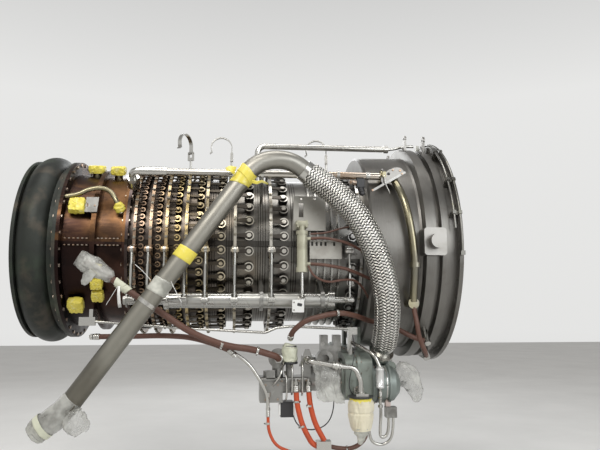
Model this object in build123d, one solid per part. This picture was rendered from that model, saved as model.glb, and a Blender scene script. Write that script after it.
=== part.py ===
from build123d import *
import os
from math import atan2, cos, degrees, radians, sin, sqrt, tan

os.makedirs("parts", exist_ok=True)

# Gas generator with its variable stator linkage, accessory gearbox, pipes and hoses.
# The origin is on the rotor axis at the front flange face. +X is forward, to the inlet, and +Z is up.
# The side at -Y is the near side. All lengths are millimetres.

# Clearances and fits
RUNNING_GAP = 0.05
OPEN_PIVOT_GAP = 3.4
SWING_GAP = 0.8
SEAT_GAP = 0.3

# Compressor casing
CASE_R = 440.0
CASE_FRONT_X = -490.0
CASE_REAR_X = -1830.0
CASE_BORE_FRONT = 392.0
CASE_BORE_REAR = 348.0
CASE_FLANGE_R = 478.0
CASE_FLANGE_T = 16.0
SPLIT_FLANGE_R = 470.0
SPLIT_FLANGE_T = 15.0
RIB_R = 464.0
RIB_T = 9.0
RIB_STATIONS = [-640.0, -680.0, -722.0, -764.0, -806.0]
CASE_BOLT_D = 12.0

# Front frame
FRAME_DRUM_R = 600.0
FRAME_BAND_R = 658.0
FRAME_FLANGE_R = 680.0
FRAME_FLANGE_T = 22.0
FRAME_MOUTH_R = 590.0
HUB_R = 196.0
HUB_BORE_R = 96.0
HUB_FRONT_X = -150.0
NOSE_TIP_X = -20.0
STRUT_COUNT = 5
STRUT_CHORD = 250.0
STRUT_THICK = 46.0
STRUT_X = -320.0
FRONT_BOLT_COUNT = 40
FRONT_BOLT_HOLE_D = 13.0
FRONT_BOLT_CIRCLE_R = 662.0

# Rear casing and rear frame
REAR_CASE_R = 446.0
REAR_CASE_BORE = 360.0
REAR_CASE_REAR_X = -2180.0
REAR_RING_X = -2000.0
REAR_RING_R = 486.0
REAR_RING_T = 26.0
REAR_SPLIT_R = 484.0
REAR_FRAME_END_X = -2410.0
REAR_FRAME_R = 560.0
REAR_FLANGE_R = 530.0
REAR_FLANGE_T = 18.0
REAR_BOLT_COUNT = 36
REAR_BOLT_HOLE_D = 13.0
REAR_BOLT_CIRCLE_R = 512.0
EXHAUST_R = 430.0
TAIL_HUB_R = 250.0
TAIL_STRUT_COUNT = 8

# Variable vane rows, front to rear: spindle station, ring station, vane count, boss diameter
VANE_ROWS = [
    (-571.0, -526.0, 34, 54.0),
    (-960.0, -1034.0, 36, 54.0),
    (-1155.0, -1232.0, 34, 54.0),
    (-1309.0, -1389.0, 40, 50.0),
    (-1430.0, -1498.0, 46, 44.0),
    (-1550.0, -1605.0, 54, 38.0),
    (-1652.0, -1690.0, 62, 32.0),
    (-1743.0, -1775.0, 70, 30.0),
]
BOSS_TOP_R = 474.0
BOSS_RECESS = 5.0
LEVER_T = 6.0
LEVER_PIN_D = 8.0
RING_T = 22.0
RING_W = 16.0
NUT_H = 6.0

# Torque shafts, cranks and link rods
SHAFT_Y = 480.0
SHAFT_Z = -313.0
SHAFT_R = 43.0
SHAFT_FRONT_X = -690.0
SHAFT_STEP_X = -1601.0
SHAFT_REAR_X = -1822.0
SHAFT_TAIL_R = 25.0
SHAFT_STUB_R = 20.0
SHAFT_STUB_X = -580.0
SHAFT_COLLAR_R = 54.0
CRANK_ARM = 80.0
RING_PIN_Z = -45.0
ARM_Y = 492.0
LINK_STATIONS = [-606.0] + [row[1] for row in VANE_ROWS[1:]]
LINK_PIN_R = 7.0
LINK_EYE_R = 17.5
LINK_EYE_W = 14.4
LINK_ROD_R = 6.5
CLEVIS_GAP = RING_W
CLEVIS_CHEEK = 8.0
BEARINGS = [(-750.0, 20.0), (-1086.0, 20.0), (-1803.0, 8.0)]
BEARING_WALL = 14.0

# Vane actuators
ACTUATOR_X = -868.0
ACTUATOR_R = 29.0
ACTUATOR_BOTTOM_Z = -163.0
ACTUATOR_TOP_Z = 62.0
ACTUATOR_EYE_Z = 100.0
ROD_R = 10.0
ROD_TOP_Z = -40.0
SLOT_PLATE_X = (-908.0, -725.0)
SLOT_PLATE_Z = (95.0, 270.0)
SLOT_PLATE_T = 8.0
SLOT_W = 26.0

# Rotor
ROTOR_FRONT_R = 205.0
ROTOR_REAR_R = 296.0
ROTOR_FRONT_X = -602.0
ROTOR_REAR_X = -1800.0
JOURNAL_R = 60.0
JOURNAL_FRONT_X = -200.0
TURBINE_SHAFT_R = 90.0
TIP_GAP = 1.5
BLADE_COUNT_FRONT = 28
BLADE_COUNT_STEP = 1
TURBINE_X = -2250.0
TURBINE_DISC_R = 300.0
TURBINE_BLADE_COUNT = 52

# Top pipe, upper tube and hook clamps
TOP_PIPE_R = 21.0
TOP_PIPE_Y = -505.0
TOP_PIPE_Z = 388.0
TOP_PIPE_X = (-1760.0, -402.0)
UPPER_TUBE_R = 19.0
UPPER_TUBE_Y = -100.0
UPPER_TUBE_Z = 655.0
UPPER_TUBE_X = (-1100.0, -292.0)
CLAMP_STATIONS = [(-1518.0, 62.0), (-1262.0, 0.0), (-657.0, -8.0)]
CLAMP_Y = -50.0
CLAMP_HINGE_Z = 610.0
CLAMP_PIN_R = 4.0
CLAMP_BAND_R = 62.0
CLAMP_BAND_T = 6.0
CLAMP_BAND_W = 24.0
CLAMP_POST_T = 14.0

# Delivery pipe, braided hose and starter
DELIVERY_R = 50.0
DELIVERY_WALL = 3.0
HOSE_R = 69.0
HOSE_END_Z = -545.0
STARTER_R = 100.0
STARTER_X = (-495.0, -335.0)
STARTER_Y = -500.0
STARTER_Z = -765.0

# Gearbox
GEARBOX_X = (-640.0, -495.0)
GEARBOX_Y = (-590.0, 430.0)
GEARBOX_TOP_Z = -600.0
GEARBOX_BOTTOM_Z = -860.0


def turned(points, arc=360.0):
    """A solid turned about the rotor axis from (x, radius) points, starting at +Y towards +Z."""
    face = make_face(Polyline(*[(x, r, 0) for x, r in points], close=True))
    return revolve(face, axis=Axis.X, revolution_arc=arc).solid()


def around(shape, angle):
    """The shape turned about the rotor axis: 90 degrees takes the top to the near side."""
    return Rot(angle, 0, 0) * shape


def mirrored(shape):
    """The far side's copy of a near side piece."""
    return mirror(shape, about=Plane.XZ)


def rod_x(x0, x1, y, z, r):
    """A cylinder along X between two stations."""
    return Pos((x0 + x1) / 2, y, z) * Rot(0, 90, 0) * Cylinder(r, abs(x1 - x0))


def rod_y(x, y0, y1, z, r):
    """A cylinder along Y between two stations."""
    return Pos(x, (y0 + y1) / 2, z) * Rot(90, 0, 0) * Cylinder(r, abs(y1 - y0))


def rod_z(x, y, z0, z1, r):
    """A cylinder along Z between two heights."""
    return Pos(x, y, (z0 + z1) / 2) * Cylinder(r, abs(z1 - z0))


def block(x0, x1, y0, y1, z0, z1):
    """A box between two corners."""
    return Pos((x0 + x1) / 2, (y0 + y1) / 2, (z0 + z1) / 2) * Box(
        abs(x1 - x0), abs(y1 - y0), abs(z1 - z0)
    )


def slab_x(sketch, x0, x1):
    """A plate between two stations along X, drawn with (y, z) as its plane coordinates."""
    return extrude(Plane.YZ.offset(x0) * sketch, amount=x1 - x0, dir=(1, 0, 0))


def slab_y(sketch, y0, y1):
    """A plate between two stations along Y, drawn with (x, z) as its plane coordinates."""
    return extrude(Plane.XZ.offset(-y0) * sketch, amount=y1 - y0, dir=(0, 1, 0))


def slab_z(sketch, z0, z1):
    """A plate between two heights, drawn with (x, y) as its plane coordinates."""
    return extrude(Plane.XY.offset(z0) * sketch, amount=z1 - z0, dir=(0, 0, 1))


def outline(*points):
    """A flat shape with straight sides, with its corners put in anticlockwise order."""
    area = sum(a[0] * b[1] - b[0] * a[1] for a, b in zip(points, points[1:] + points[:1]))
    return Polygon(*(points if area > 0 else points[::-1]), align=None)


def hex_x(x0, x1, y, z, across):
    """A hexagon nut or head along X, given its size across corners."""
    return slab_x(Pos(y, z) * RegularPolygon(across / 2, 6), x0, x1)


def bend_radii(points, share=0.45):
    """The largest arc for each corner of a route that leaves its neighbours room."""
    radii = []
    for before, corner, after in zip(points, points[1:], points[2:]):
        first = Vector(*corner) - Vector(*before)
        second = Vector(*after) - Vector(*corner)
        turn = radians(first.get_angle(second))
        radii.append(share * min(first.length, second.length) / tan(turn / 2))
    return radii


def tube(points, outer_r, inner_r=0.0, radii=None):
    """A round bar or tube along straight runs joined by tangent arcs."""
    if len(points) == 2:
        path = Line(*points)
    else:
        path = FilletPolyline(*points, radius=radii or bend_radii(points))
    plane = Plane(origin=path @ 0, z_dir=path % 0)
    section = Circle(outer_r)
    if inner_r:
        section = section - Circle(inner_r)
    return sweep(plane * section, path=path).solid()


def write(name, *shapes):
    """One STEP file for a node, with each of its pieces as a solid."""
    solids = [solid for shape in shapes for solid in shape.solids()]
    export_step(solids[0] if len(solids) == 1 else Compound(solids), f"parts/{name}.step")


def case_bore(x):
    """The compressor casing's bore radius at a station."""
    share = (CASE_FRONT_X - x) / (CASE_FRONT_X - CASE_REAR_X)
    return CASE_BORE_FRONT + (CASE_BORE_REAR - CASE_BORE_FRONT) * share


def drum_radius(x):
    """The rotor drum's radius at a station."""
    share = (ROTOR_FRONT_X - x) / (ROTOR_FRONT_X - ROTOR_REAR_X)
    return ROTOR_FRONT_R + (ROTOR_REAR_R - ROTOR_FRONT_R) * share


# Radii that follow from the vane gear's stack, from the boss tops outwards
LEVER_R0 = BOSS_TOP_R + SWING_GAP
LEVER_R1 = LEVER_R0 + LEVER_T
RING_R0 = LEVER_R1 + SWING_GAP
RING_R1 = RING_R0 + RING_T
PIN_Y = SHAFT_Y + CRANK_ARM


# Front frame: an outer casing and a hub in one casting, joined by struts
def airfoil(chord, thick):
    """A strut or blade section along local X, with a round nose and a fine tail."""
    nose = chord / 2
    top = Spline(
        (nose, 0), (nose * 0.72, thick * 0.40), (0, thick / 2), (-nose, 0.6),
        tangents=((0, 1), (-1, -0.16)),
    )
    tail = Line((-nose, 0.6), (-nose, -0.6))
    low = Spline(
        (-nose, -0.6), (0, -thick / 2), (nose * 0.72, -thick * 0.40), (nose, 0),
        tangents=((1, -0.16), (0, 1)),
    )
    return make_face([top, tail, low])


def make_front_frame():
    rear_x = CASE_FRONT_X
    shell = turned([
        (0, FRAME_MOUTH_R), (0, FRAME_FLANGE_R), (-FRAME_FLANGE_T, FRAME_FLANGE_R),
        (-FRAME_FLANGE_T, FRAME_BAND_R - 22), (-65, FRAME_BAND_R - 22), (-69, FRAME_BAND_R - 4),
        (-109, FRAME_BAND_R - 4), (-113, FRAME_BAND_R - 38), (-138, FRAME_BAND_R - 38),
        (-142, FRAME_BAND_R), (-199, FRAME_BAND_R), (-203, FRAME_DRUM_R + 4),
        (-216, FRAME_DRUM_R), (rear_x + 12, FRAME_DRUM_R - 2), (rear_x, FRAME_DRUM_R - 14),
        (rear_x, CASE_BORE_FRONT), (-430, 402), (-360, 430), (-270, 492), (-170, 550), (-60, 582),
    ])
    hub = turned([
        (HUB_FRONT_X, HUB_BORE_R), (HUB_FRONT_X, HUB_R - 26), (-190, HUB_R - 6), (-250, HUB_R),
        (rear_x, HUB_R + 2), (rear_x, HUB_BORE_R + 30), (rear_x + 60, HUB_BORE_R + 24),
        (rear_x + 70, HUB_BORE_R),
    ])
    frame = shell + hub
    strut_top = 575.0
    section = airfoil(STRUT_CHORD, STRUT_THICK)
    strut = extrude(Plane(origin=(STRUT_X, 0, HUB_R - 20), z_dir=(0, 0, 1)) * section,
                    strut_top - HUB_R + 20)
    for k in range(STRUT_COUNT):
        frame += around(strut, 360 / STRUT_COUNT * k + 180)
    hole = rod_x(-FRAME_FLANGE_T - 1, 1, 0, FRONT_BOLT_CIRCLE_R, FRONT_BOLT_HOLE_D / 2)
    frame -= [around(hole, 360 / FRONT_BOLT_COUNT * k) for k in range(FRONT_BOLT_COUNT)]
    return frame.solid()


front_frame = make_front_frame()

# Nose cone, bolted to the hub's front face
nose_len = NOSE_TIP_X - HUB_FRONT_X
nose_profile = [(NOSE_TIP_X - nose_len * (1 - cos(radians(a))), (HUB_R - 26) * sin(radians(a)))
                for a in range(0, 91, 10)]
nose_cone = revolve(
    make_face([
        Spline(*[(x, r, 0) for x, r in nose_profile], tangents=((0, 1, 0), (-1, 0, 0))),
        Polyline((HUB_FRONT_X, HUB_R - 26, 0), (HUB_FRONT_X, 0, 0), (NOSE_TIP_X, 0, 0)),
    ]),
    axis=Axis.X,
).solid()

# Front trunnions on the frame's sides, where a stand or a mount link holds the engine
TRUNNION_X = -160.0
TRUNNION_R = 40.0
TRUNNION_END = 742.0


def make_trunnion():
    pad = block(TRUNNION_X - 62, TRUNNION_X + 62, -690, -600, -75, 75)
    pad = fillet(pad.edges().filter_by(Axis.Y), 18)
    post = rod_y(TRUNNION_X, -TRUNNION_END, -640, 0, TRUNNION_R)
    return ((pad + post) - front_frame).solids().sort_by(Axis.Y)[0]


trunnion = make_trunnion()


# Vane rows round the casing, and the room that their spindle bosses need at the split flanges
def vane_angles(count):
    """Equal angles for one row, with no vane on the casing's split line."""
    first = 0 if count % 4 == 2 else 0.5
    return [360 / count * (k + first) for k in range(count)]


def boss_wells():
    """Round cutters for the bosses that stand beside the split flanges."""
    wells = []
    for x, ring_x, count, boss_d in VANE_ROWS:
        well = rod_z(x, 0, CASE_R + SEAT_GAP / 2, BOSS_TOP_R, boss_d / 2 + 1)
        wells += [around(well, angle) for angle in vane_angles(count) if abs(angle % 180 - 90) < 6]
    return wells


# Compressor casing in two halves, with ribs, end flanges and split flanges
def casing_profile():
    points = [(CASE_FRONT_X, CASE_BORE_FRONT), (CASE_FRONT_X, CASE_FLANGE_R)]
    points += [(CASE_FRONT_X - CASE_FLANGE_T, CASE_FLANGE_R), (CASE_FRONT_X - CASE_FLANGE_T, CASE_R)]
    for x in RIB_STATIONS:
        points += [(x, CASE_R), (x, RIB_R), (x - RIB_T, RIB_R), (x - RIB_T, CASE_R)]
    points += [(CASE_REAR_X + CASE_FLANGE_T, CASE_R), (CASE_REAR_X + CASE_FLANGE_T, CASE_FLANGE_R)]
    points += [(CASE_REAR_X, CASE_FLANGE_R), (CASE_REAR_X, CASE_BORE_REAR)]
    return points


def half_case(profile, split_r, split_t, x_front, x_rear, inner_r):
    """The upper half of a casing with a flange along each side at the split."""
    half = turned(profile, arc=180)
    rail = block(x_front, x_rear, -split_r, -inner_r, 0, split_t)
    return (half + rail + mirrored(rail)).solid()


case_upper = half_case(
    casing_profile(), SPLIT_FLANGE_R, SPLIT_FLANGE_T,
    CASE_FRONT_X - CASE_FLANGE_T, CASE_REAR_X + CASE_FLANGE_T, CASE_R - 20,
)
case_upper = (case_upper - boss_wells()).solid()
case_lower = around(case_upper, 180)
case_envelope = turned([
    (0, 0), (0, CASE_R), (CASE_REAR_X - 400, CASE_R), (CASE_REAR_X - 400, 0),
])


# Rear casing in two halves, with longitudinal grooves, a ring and split flanges
def rear_profile():
    ring = REAR_RING_T / 2
    return [
        (CASE_REAR_X, REAR_CASE_BORE), (CASE_REAR_X, CASE_FLANGE_R),
        (CASE_REAR_X - 14, CASE_FLANGE_R), (CASE_REAR_X - 14, REAR_CASE_R),
        (REAR_RING_X + ring, REAR_CASE_R), (REAR_RING_X + ring, REAR_RING_R),
        (REAR_RING_X - ring, REAR_RING_R), (REAR_RING_X - ring, REAR_CASE_R - 8),
        (REAR_CASE_REAR_X + REAR_FLANGE_T, REAR_CASE_R + 14),
        (REAR_CASE_REAR_X + REAR_FLANGE_T, REAR_FLANGE_R),
        (REAR_CASE_REAR_X, REAR_FLANGE_R), (REAR_CASE_REAR_X, REAR_CASE_BORE),
    ]


rear_upper = half_case(
    rear_profile(), REAR_SPLIT_R, SPLIT_FLANGE_T,
    CASE_REAR_X - 14, REAR_CASE_REAR_X + REAR_FLANGE_T, REAR_CASE_R - 20,
)
rear_lower = around(rear_upper, 180)


# Rear frame: a domed ring round the exhaust, with a hub carried by struts
def make_rear_frame():
    end = REAR_FRAME_END_X
    front = REAR_CASE_REAR_X
    outline = [
        Line((front, EXHAUST_R, 0), (front, REAR_FLANGE_R, 0)),
        Line((front, REAR_FLANGE_R, 0), (front - REAR_FLANGE_T, REAR_FLANGE_R, 0)),
        Line((front - REAR_FLANGE_T, REAR_FLANGE_R, 0), (front - REAR_FLANGE_T, REAR_FLANGE_R - 36, 0)),
        Line((front - REAR_FLANGE_T, REAR_FLANGE_R - 36, 0), (front - 50, REAR_FLANGE_R - 30, 0)),
        Spline(
            (front - 50, REAR_FLANGE_R - 30, 0), (front - 100, REAR_FRAME_R - 8, 0),
            (front - 150, REAR_FRAME_R - 6, 0), (end + 22, REAR_FLANGE_R - 26, 0),
        ),
        Line((end + 22, REAR_FLANGE_R - 26, 0), (end + REAR_FLANGE_T, REAR_FLANGE_R, 0)),
        Line((end + REAR_FLANGE_T, REAR_FLANGE_R, 0), (end, REAR_FLANGE_R, 0)),
        Line((end, REAR_FLANGE_R, 0), (end, EXHAUST_R, 0)),
        Line((end, EXHAUST_R, 0), (front, EXHAUST_R, 0)),
    ]
    shell = revolve(make_face(outline), axis=Axis.X).solid()
    hub = turned([
        (-2330, TURBINE_SHAFT_R + RUNNING_GAP), (-2330, TAIL_HUB_R - 20), (-2350, TAIL_HUB_R),
        (end, TAIL_HUB_R), (end, TURBINE_SHAFT_R + RUNNING_GAP),
    ])
    frame = shell + hub
    section = airfoil(70, 18)
    strut = extrude(
        Plane(origin=(-2370, 0, TAIL_HUB_R - 10), z_dir=(0, 0, 1)) * section,
        EXHAUST_R - TAIL_HUB_R + 25,
    )
    for k in range(TAIL_STRUT_COUNT):
        frame += around(strut, 360 / TAIL_STRUT_COUNT * (k + 0.5))
    hole = rod_x(end - 1, end + REAR_FLANGE_T + 1, 0, REAR_BOLT_CIRCLE_R, REAR_BOLT_HOLE_D / 2)
    frame -= [around(hole, 360 / REAR_BOLT_COUNT * k) for k in range(REAR_BOLT_COUNT)]
    return frame.solid()


rear_frame = make_rear_frame()


# Bolts: the ring flanges' and the split flanges', with heads on one side and nuts on the other
def flange_bolt(x_head, x_nut, r):
    """One hexagon head and one nut on the faces of a flange pair at the top."""
    head = hex_x(x_head, x_head + NUT_H, 0, r, 2 * CASE_BOLT_D - 4)
    nut = hex_x(x_nut - NUT_H, x_nut, 0, r, 2 * CASE_BOLT_D - 4)
    return [head, nut]


def split_bolt(x, y, thick):
    """A hexagon head above and a nut below the split flanges."""
    hexagon = RegularPolygon(CASE_BOLT_D - 2, 6)
    head = slab_z(Pos(x, y) * hexagon, thick, thick + NUT_H)
    nut = slab_z(Pos(x, y) * hexagon, -thick - NUT_H, -thick)
    return [head, nut]


def stations(x_front, x_rear, pitch):
    count = int((x_front - x_rear) // pitch)
    return [x_front - pitch * (k + 0.5) for k in range(count)]


flange_bolts = []
for k in range(36):
    for piece in flange_bolt(CASE_REAR_X + CASE_FLANGE_T, CASE_REAR_X - 14, CASE_FLANGE_R - 14):
        flange_bolts.append(around(piece, 10 * k + 5))
    for piece in flange_bolt(
        REAR_CASE_REAR_X + REAR_FLANGE_T, REAR_CASE_REAR_X - REAR_FLANGE_T, REAR_BOLT_CIRCLE_R,
    ):
        flange_bolts.append(around(piece, 10 * k + 5))
split_bolts = []
for x in stations(CASE_REAR_X - 24, REAR_RING_X + REAR_RING_T / 2 + 4, 21):
    for y in (-REAR_SPLIT_R + 14, REAR_SPLIT_R - 14):
        split_bolts += split_bolt(x, y, SPLIT_FLANGE_T)
for x in stations(REAR_RING_X - REAR_RING_T / 2 - 4, REAR_CASE_REAR_X + REAR_FLANGE_T + 6, 23):
    for y in (-REAR_SPLIT_R + 14, REAR_SPLIT_R - 14):
        split_bolts += split_bolt(x, y, SPLIT_FLANGE_T)


# Vane gear: spindle bosses on the casing, then each row's levers and ring
def make_boss(x, boss_d):
    """One spindle boss at the top, seated on the casing, with a recess round its spindle."""
    post = rod_z(x, 0, CASE_R + SEAT_GAP, BOSS_TOP_R, boss_d / 2)
    recess = rod_z(x, 0, BOSS_TOP_R - BOSS_RECESS, BOSS_TOP_R + 1, boss_d / 2 - 6)
    return (post - recess).solid()


def make_lever(x, ring_x, boss_d):
    """One lever at the top: a tapered plate, its spindle nut and its pin up to the ring."""
    root_r = boss_d / 2 - 12
    tip_r = LEVER_PIN_D / 2 + 3
    side = 1 if ring_x > x else -1
    web = outline((x, root_r), (ring_x, tip_r), (ring_x, -tip_r), (x, -root_r))
    plan = Pos(x, 0) * Circle(root_r) + web + Pos(ring_x, 0) * Circle(tip_r)
    plate = slab_z(plan, LEVER_R0, LEVER_R1)
    spindle_nut = slab_z(Pos(x, 0) * RegularPolygon(root_r - 1.5, 6), LEVER_R1, LEVER_R1 + NUT_H)
    pin = rod_z(ring_x, 0, LEVER_R1, RING_R0 - SEAT_GAP, LEVER_PIN_D / 2)
    return (plate + spindle_nut + pin).solid()


def clevis(x, pin_y, pin_z, root, reach):
    """Two cheeks round a pin, drawn from root points (y, z) to the pin."""
    plan = Pos(pin_y, pin_z) * Circle(reach) + outline(
        root[0], (pin_y, pin_z + reach), (pin_y, pin_z - reach), root[1],
    )
    near = slab_x(plan, x - CLEVIS_GAP / 2 - CLEVIS_CHEEK, x - CLEVIS_GAP / 2)
    far = slab_x(plan, x + CLEVIS_GAP / 2, x + CLEVIS_GAP / 2 + CLEVIS_CHEEK)
    return near + far


def clevis_pin(x, pin_y, pin_z):
    """A clevis pin with a head and a nut outside the cheeks."""
    half = CLEVIS_GAP / 2 + CLEVIS_CHEEK
    pin = rod_x(x - half, x + half, pin_y, pin_z, LINK_PIN_R)
    head = hex_x(x + half, x + half + NUT_H, pin_y, pin_z, 22)
    nut = hex_x(x - half - NUT_H, x - half, pin_y, pin_z, 22)
    return pin + head + nut


def make_ring(row):
    x, ring_x, count, boss_d = VANE_ROWS[row]
    half = RING_W / 2
    ring = turned([
        (ring_x - half, RING_R0), (ring_x + half, RING_R0),
        (ring_x + half, RING_R1), (ring_x - half, RING_R1),
    ])
    head = rod_z(ring_x, 0, RING_R1 - 2, RING_R1 + NUT_H - 1, LEVER_PIN_D / 2 + 2.5)
    ring = ring + [around(head, angle) for angle in vane_angles(count)]
    root_z0 = -12.0
    root_z1 = -84.0
    root_r = (RING_R0 + RING_R1) / 2
    root = [(-sqrt(root_r**2 - root_z0**2), root_z0), (-sqrt(root_r**2 - root_z1**2), root_z1)]
    lug_x = LINK_STATIONS[row]
    if lug_x != ring_x:
        root = [(-ARM_Y - 2, root_z0), (-ARM_Y - 2, root_z1)]
    lug = clevis(lug_x, -PIN_Y, RING_PIN_Z, root, LINK_EYE_R)
    lug = lug + clevis_pin(lug_x, -PIN_Y, RING_PIN_Z)
    if lug_x != ring_x:
        half_lug = CLEVIS_GAP / 2 + CLEVIS_CHEEK
        lug = lug + block(lug_x - half_lug, ring_x + half, -ARM_Y - 14, -ARM_Y, root_z1, root_z0)
    return (ring + lug + mirrored(lug)).solid()


# Torque shaft with a crank at each ring, and the link rods between cranks and rings
def make_shaft():
    y, z = -SHAFT_Y, SHAFT_Z
    shaft = rod_x(SHAFT_STEP_X, SHAFT_FRONT_X, y, z, SHAFT_R)
    shaft += rod_x(SHAFT_REAR_X, SHAFT_STEP_X + 5, y, z, SHAFT_TAIL_R)
    shaft += rod_x(SHAFT_FRONT_X - 5, SHAFT_STUB_X, y, z, SHAFT_STUB_R)
    shaft += rod_x(SHAFT_FRONT_X - 30, SHAFT_FRONT_X + 6, y, z, SHAFT_COLLAR_R)
    shaft += rod_x(SHAFT_STEP_X - 6, SHAFT_STEP_X + 20, y, z, SHAFT_COLLAR_R - 4)
    for x in LINK_STATIONS:
        core = SHAFT_R - 8 if SHAFT_STEP_X < x < SHAFT_FRONT_X else SHAFT_STUB_R - 4
        shaft += clevis(x, -PIN_Y, z, [(y - core + 20, z + core), (y - core + 20, z - core)],
                        LINK_EYE_R)
        shaft += clevis_pin(x, -PIN_Y, z)
    root = [(y, z + SHAFT_R - 6), (y, z - SHAFT_R + 6)]
    shaft += clevis(ACTUATOR_X, -PIN_Y, z, root, LINK_EYE_R)
    shaft += clevis_pin(ACTUATOR_X, -PIN_Y, z)
    return shaft.solid()


def eye(x, y, z, hole_r):
    """A rod end seen along X: a thick washer round its hole."""
    ring = Circle(LINK_EYE_R) - Circle(hole_r)
    return slab_x(Pos(y, z) * ring, x - LINK_EYE_W / 2, x + LINK_EYE_W / 2)


def make_link(x):
    """A link rod with a turnbuckle between its rod ends."""
    y = -PIN_Y
    link = rod_z(x, y, SHAFT_Z + LINK_EYE_R - 4, RING_PIN_Z - LINK_EYE_R + 4, LINK_ROD_R)
    middle = (SHAFT_Z + RING_PIN_Z) / 2
    turnbuckle = slab_z(Pos(x, y) * RegularPolygon(LINK_ROD_R + 4, 6), middle - 55, middle + 55)
    link = link + turnbuckle
    link = link + eye(x, y, SHAFT_Z, LINK_PIN_R + RUNNING_GAP)
    link = link + eye(x, y, RING_PIN_Z, LINK_PIN_R + OPEN_PIVOT_GAP)
    return link.solid()


def make_bearing(x, thick, shaft_r):
    """A bearing bracket: a bored eye on a foot that stands on the casing."""
    y, z = -SHAFT_Y, SHAFT_Z
    lean = atan2(SHAFT_Y, -SHAFT_Z)
    out_y, out_z = -sin(lean), -cos(lean)
    eye_r = shaft_r + BEARING_WALL
    foot_r = CASE_R - 8
    wide = 46.0
    centre = sqrt(SHAFT_Y**2 + SHAFT_Z**2)
    plan = Pos(y, z) * Circle(eye_r) + outline(
        (out_y * centre + out_z * eye_r * 0.8, out_z * centre - out_y * eye_r * 0.8),
        (out_y * foot_r + out_z * wide, out_z * foot_r - out_y * wide),
        (out_y * foot_r - out_z * wide, out_z * foot_r + out_y * wide),
        (out_y * centre - out_z * eye_r * 0.8, out_z * centre + out_y * eye_r * 0.8),
    )
    plan -= Pos(y, z) * Circle(shaft_r + RUNNING_GAP)
    web = slab_x(plan, x - thick / 2, x + thick / 2)
    return (web - case_envelope).solid()


shaft_near = make_shaft()
links_near = [make_link(x) for x in LINK_STATIONS]
bearings_near = [
    make_bearing(x, thick, SHAFT_R if x > SHAFT_STEP_X else SHAFT_TAIL_R) for x, thick in BEARINGS
]


# Vane actuator: a cylinder hung from the slotted plate, and its rod to the crank
def make_actuator():
    y = -PIN_Y
    body = rod_z(ACTUATOR_X, y, ACTUATOR_BOTTOM_Z, ACTUATOR_TOP_Z, ACTUATOR_R)
    body += rod_z(ACTUATOR_X, y, ACTUATOR_BOTTOM_Z, ACTUATOR_BOTTOM_Z + 26, ACTUATOR_R + 4)
    body += rod_z(ACTUATOR_X, y, ACTUATOR_TOP_Z - 20, ACTUATOR_TOP_Z, ACTUATOR_R + 4)
    body += rod_z(ACTUATOR_X, y, ACTUATOR_TOP_Z - 2, ACTUATOR_EYE_Z, 16)
    body += rod_x(ACTUATOR_X - 19, ACTUATOR_X + 19, y, ACTUATOR_EYE_Z, 19)
    body += rod_x(ACTUATOR_X, ACTUATOR_X + 46, y, 20, 9)
    body += rod_x(ACTUATOR_X, ACTUATOR_X + 46, y, -118, 9)
    body -= rod_z(ACTUATOR_X, y, ACTUATOR_BOTTOM_Z - 1, ROD_TOP_Z + 30, ROD_R + RUNNING_GAP)
    body -= rod_x(ACTUATOR_X - 30, ACTUATOR_X + 30, y, ACTUATOR_EYE_Z, LINK_PIN_R)
    return body.solid()


def make_actuator_hanger():
    """The clevis that carries the actuator's upper eye, and its pin."""
    y = -PIN_Y
    cheek = block(ACTUATOR_X + 19, ACTUATOR_X + 29, y - 20, -PLATE_Y, ACTUATOR_EYE_Z - 20,
                  ACTUATOR_EYE_Z + 20)
    base = block(ACTUATOR_X - 29, ACTUATOR_X + 29, -PLATE_Y - 12, -PLATE_Y, ACTUATOR_EYE_Z - 20,
                 ACTUATOR_EYE_Z + 26)
    other = Pos(-48, 0, 0) * cheek
    pin = rod_x(ACTUATOR_X - 35, ACTUATOR_X + 35, y, ACTUATOR_EYE_Z, LINK_PIN_R)
    return (cheek + base + other + pin).solid()


def make_actuator_rod():
    y = -PIN_Y
    nut_z = SHAFT_Z + 2 * LINK_EYE_R
    rod = rod_z(ACTUATOR_X, y, SHAFT_Z + LINK_EYE_R - 3, nut_z, LINK_ROD_R)
    rod += rod_z(ACTUATOR_X, y, nut_z, ROD_TOP_Z, ROD_R)
    rod += slab_z(Pos(ACTUATOR_X, y) * RegularPolygon(14, 6), nut_z, nut_z + 16)
    rod = rod - slab_x(Pos(y, SHAFT_Z) * Circle(LINK_EYE_R - 2), ACTUATOR_X - 30, ACTUATOR_X + 30)
    rod += eye(ACTUATOR_X, y, SHAFT_Z, LINK_PIN_R + OPEN_PIVOT_GAP)
    return rod.solid()


PLATE_Y = 476.0


def make_slot_plate():
    """The flat plate that carries the actuator, on four posts that stand on the casing."""
    x0, x1 = SLOT_PLATE_X
    z0, z1 = SLOT_PLATE_Z
    plate = block(x0, x1, -PLATE_Y, -PLATE_Y + SLOT_PLATE_T, z0 - 20, z1)
    slot_x = ACTUATOR_X + 4
    slot = block(slot_x - SLOT_W / 2, slot_x + SLOT_W / 2, -PLATE_Y - 5, -PLATE_Y + 20, 150, 232)
    plate -= slot
    for x in (x0 + 18, x1 - 18):
        for z in (z0, z1 - 22):
            plate += rod_y(x, -PLATE_Y + SLOT_PLATE_T - 1, -sqrt(CASE_R**2 - z**2) + 25, z, 11)
    for x in (x0 + 45, x0 + 120):
        plate -= rod_y(x, -PLATE_Y - 5, -PLATE_Y + 20, z1 - 14, 6)
    return (plate - case_upper).solids().sort_by(SortBy.VOLUME)[-1]


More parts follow.
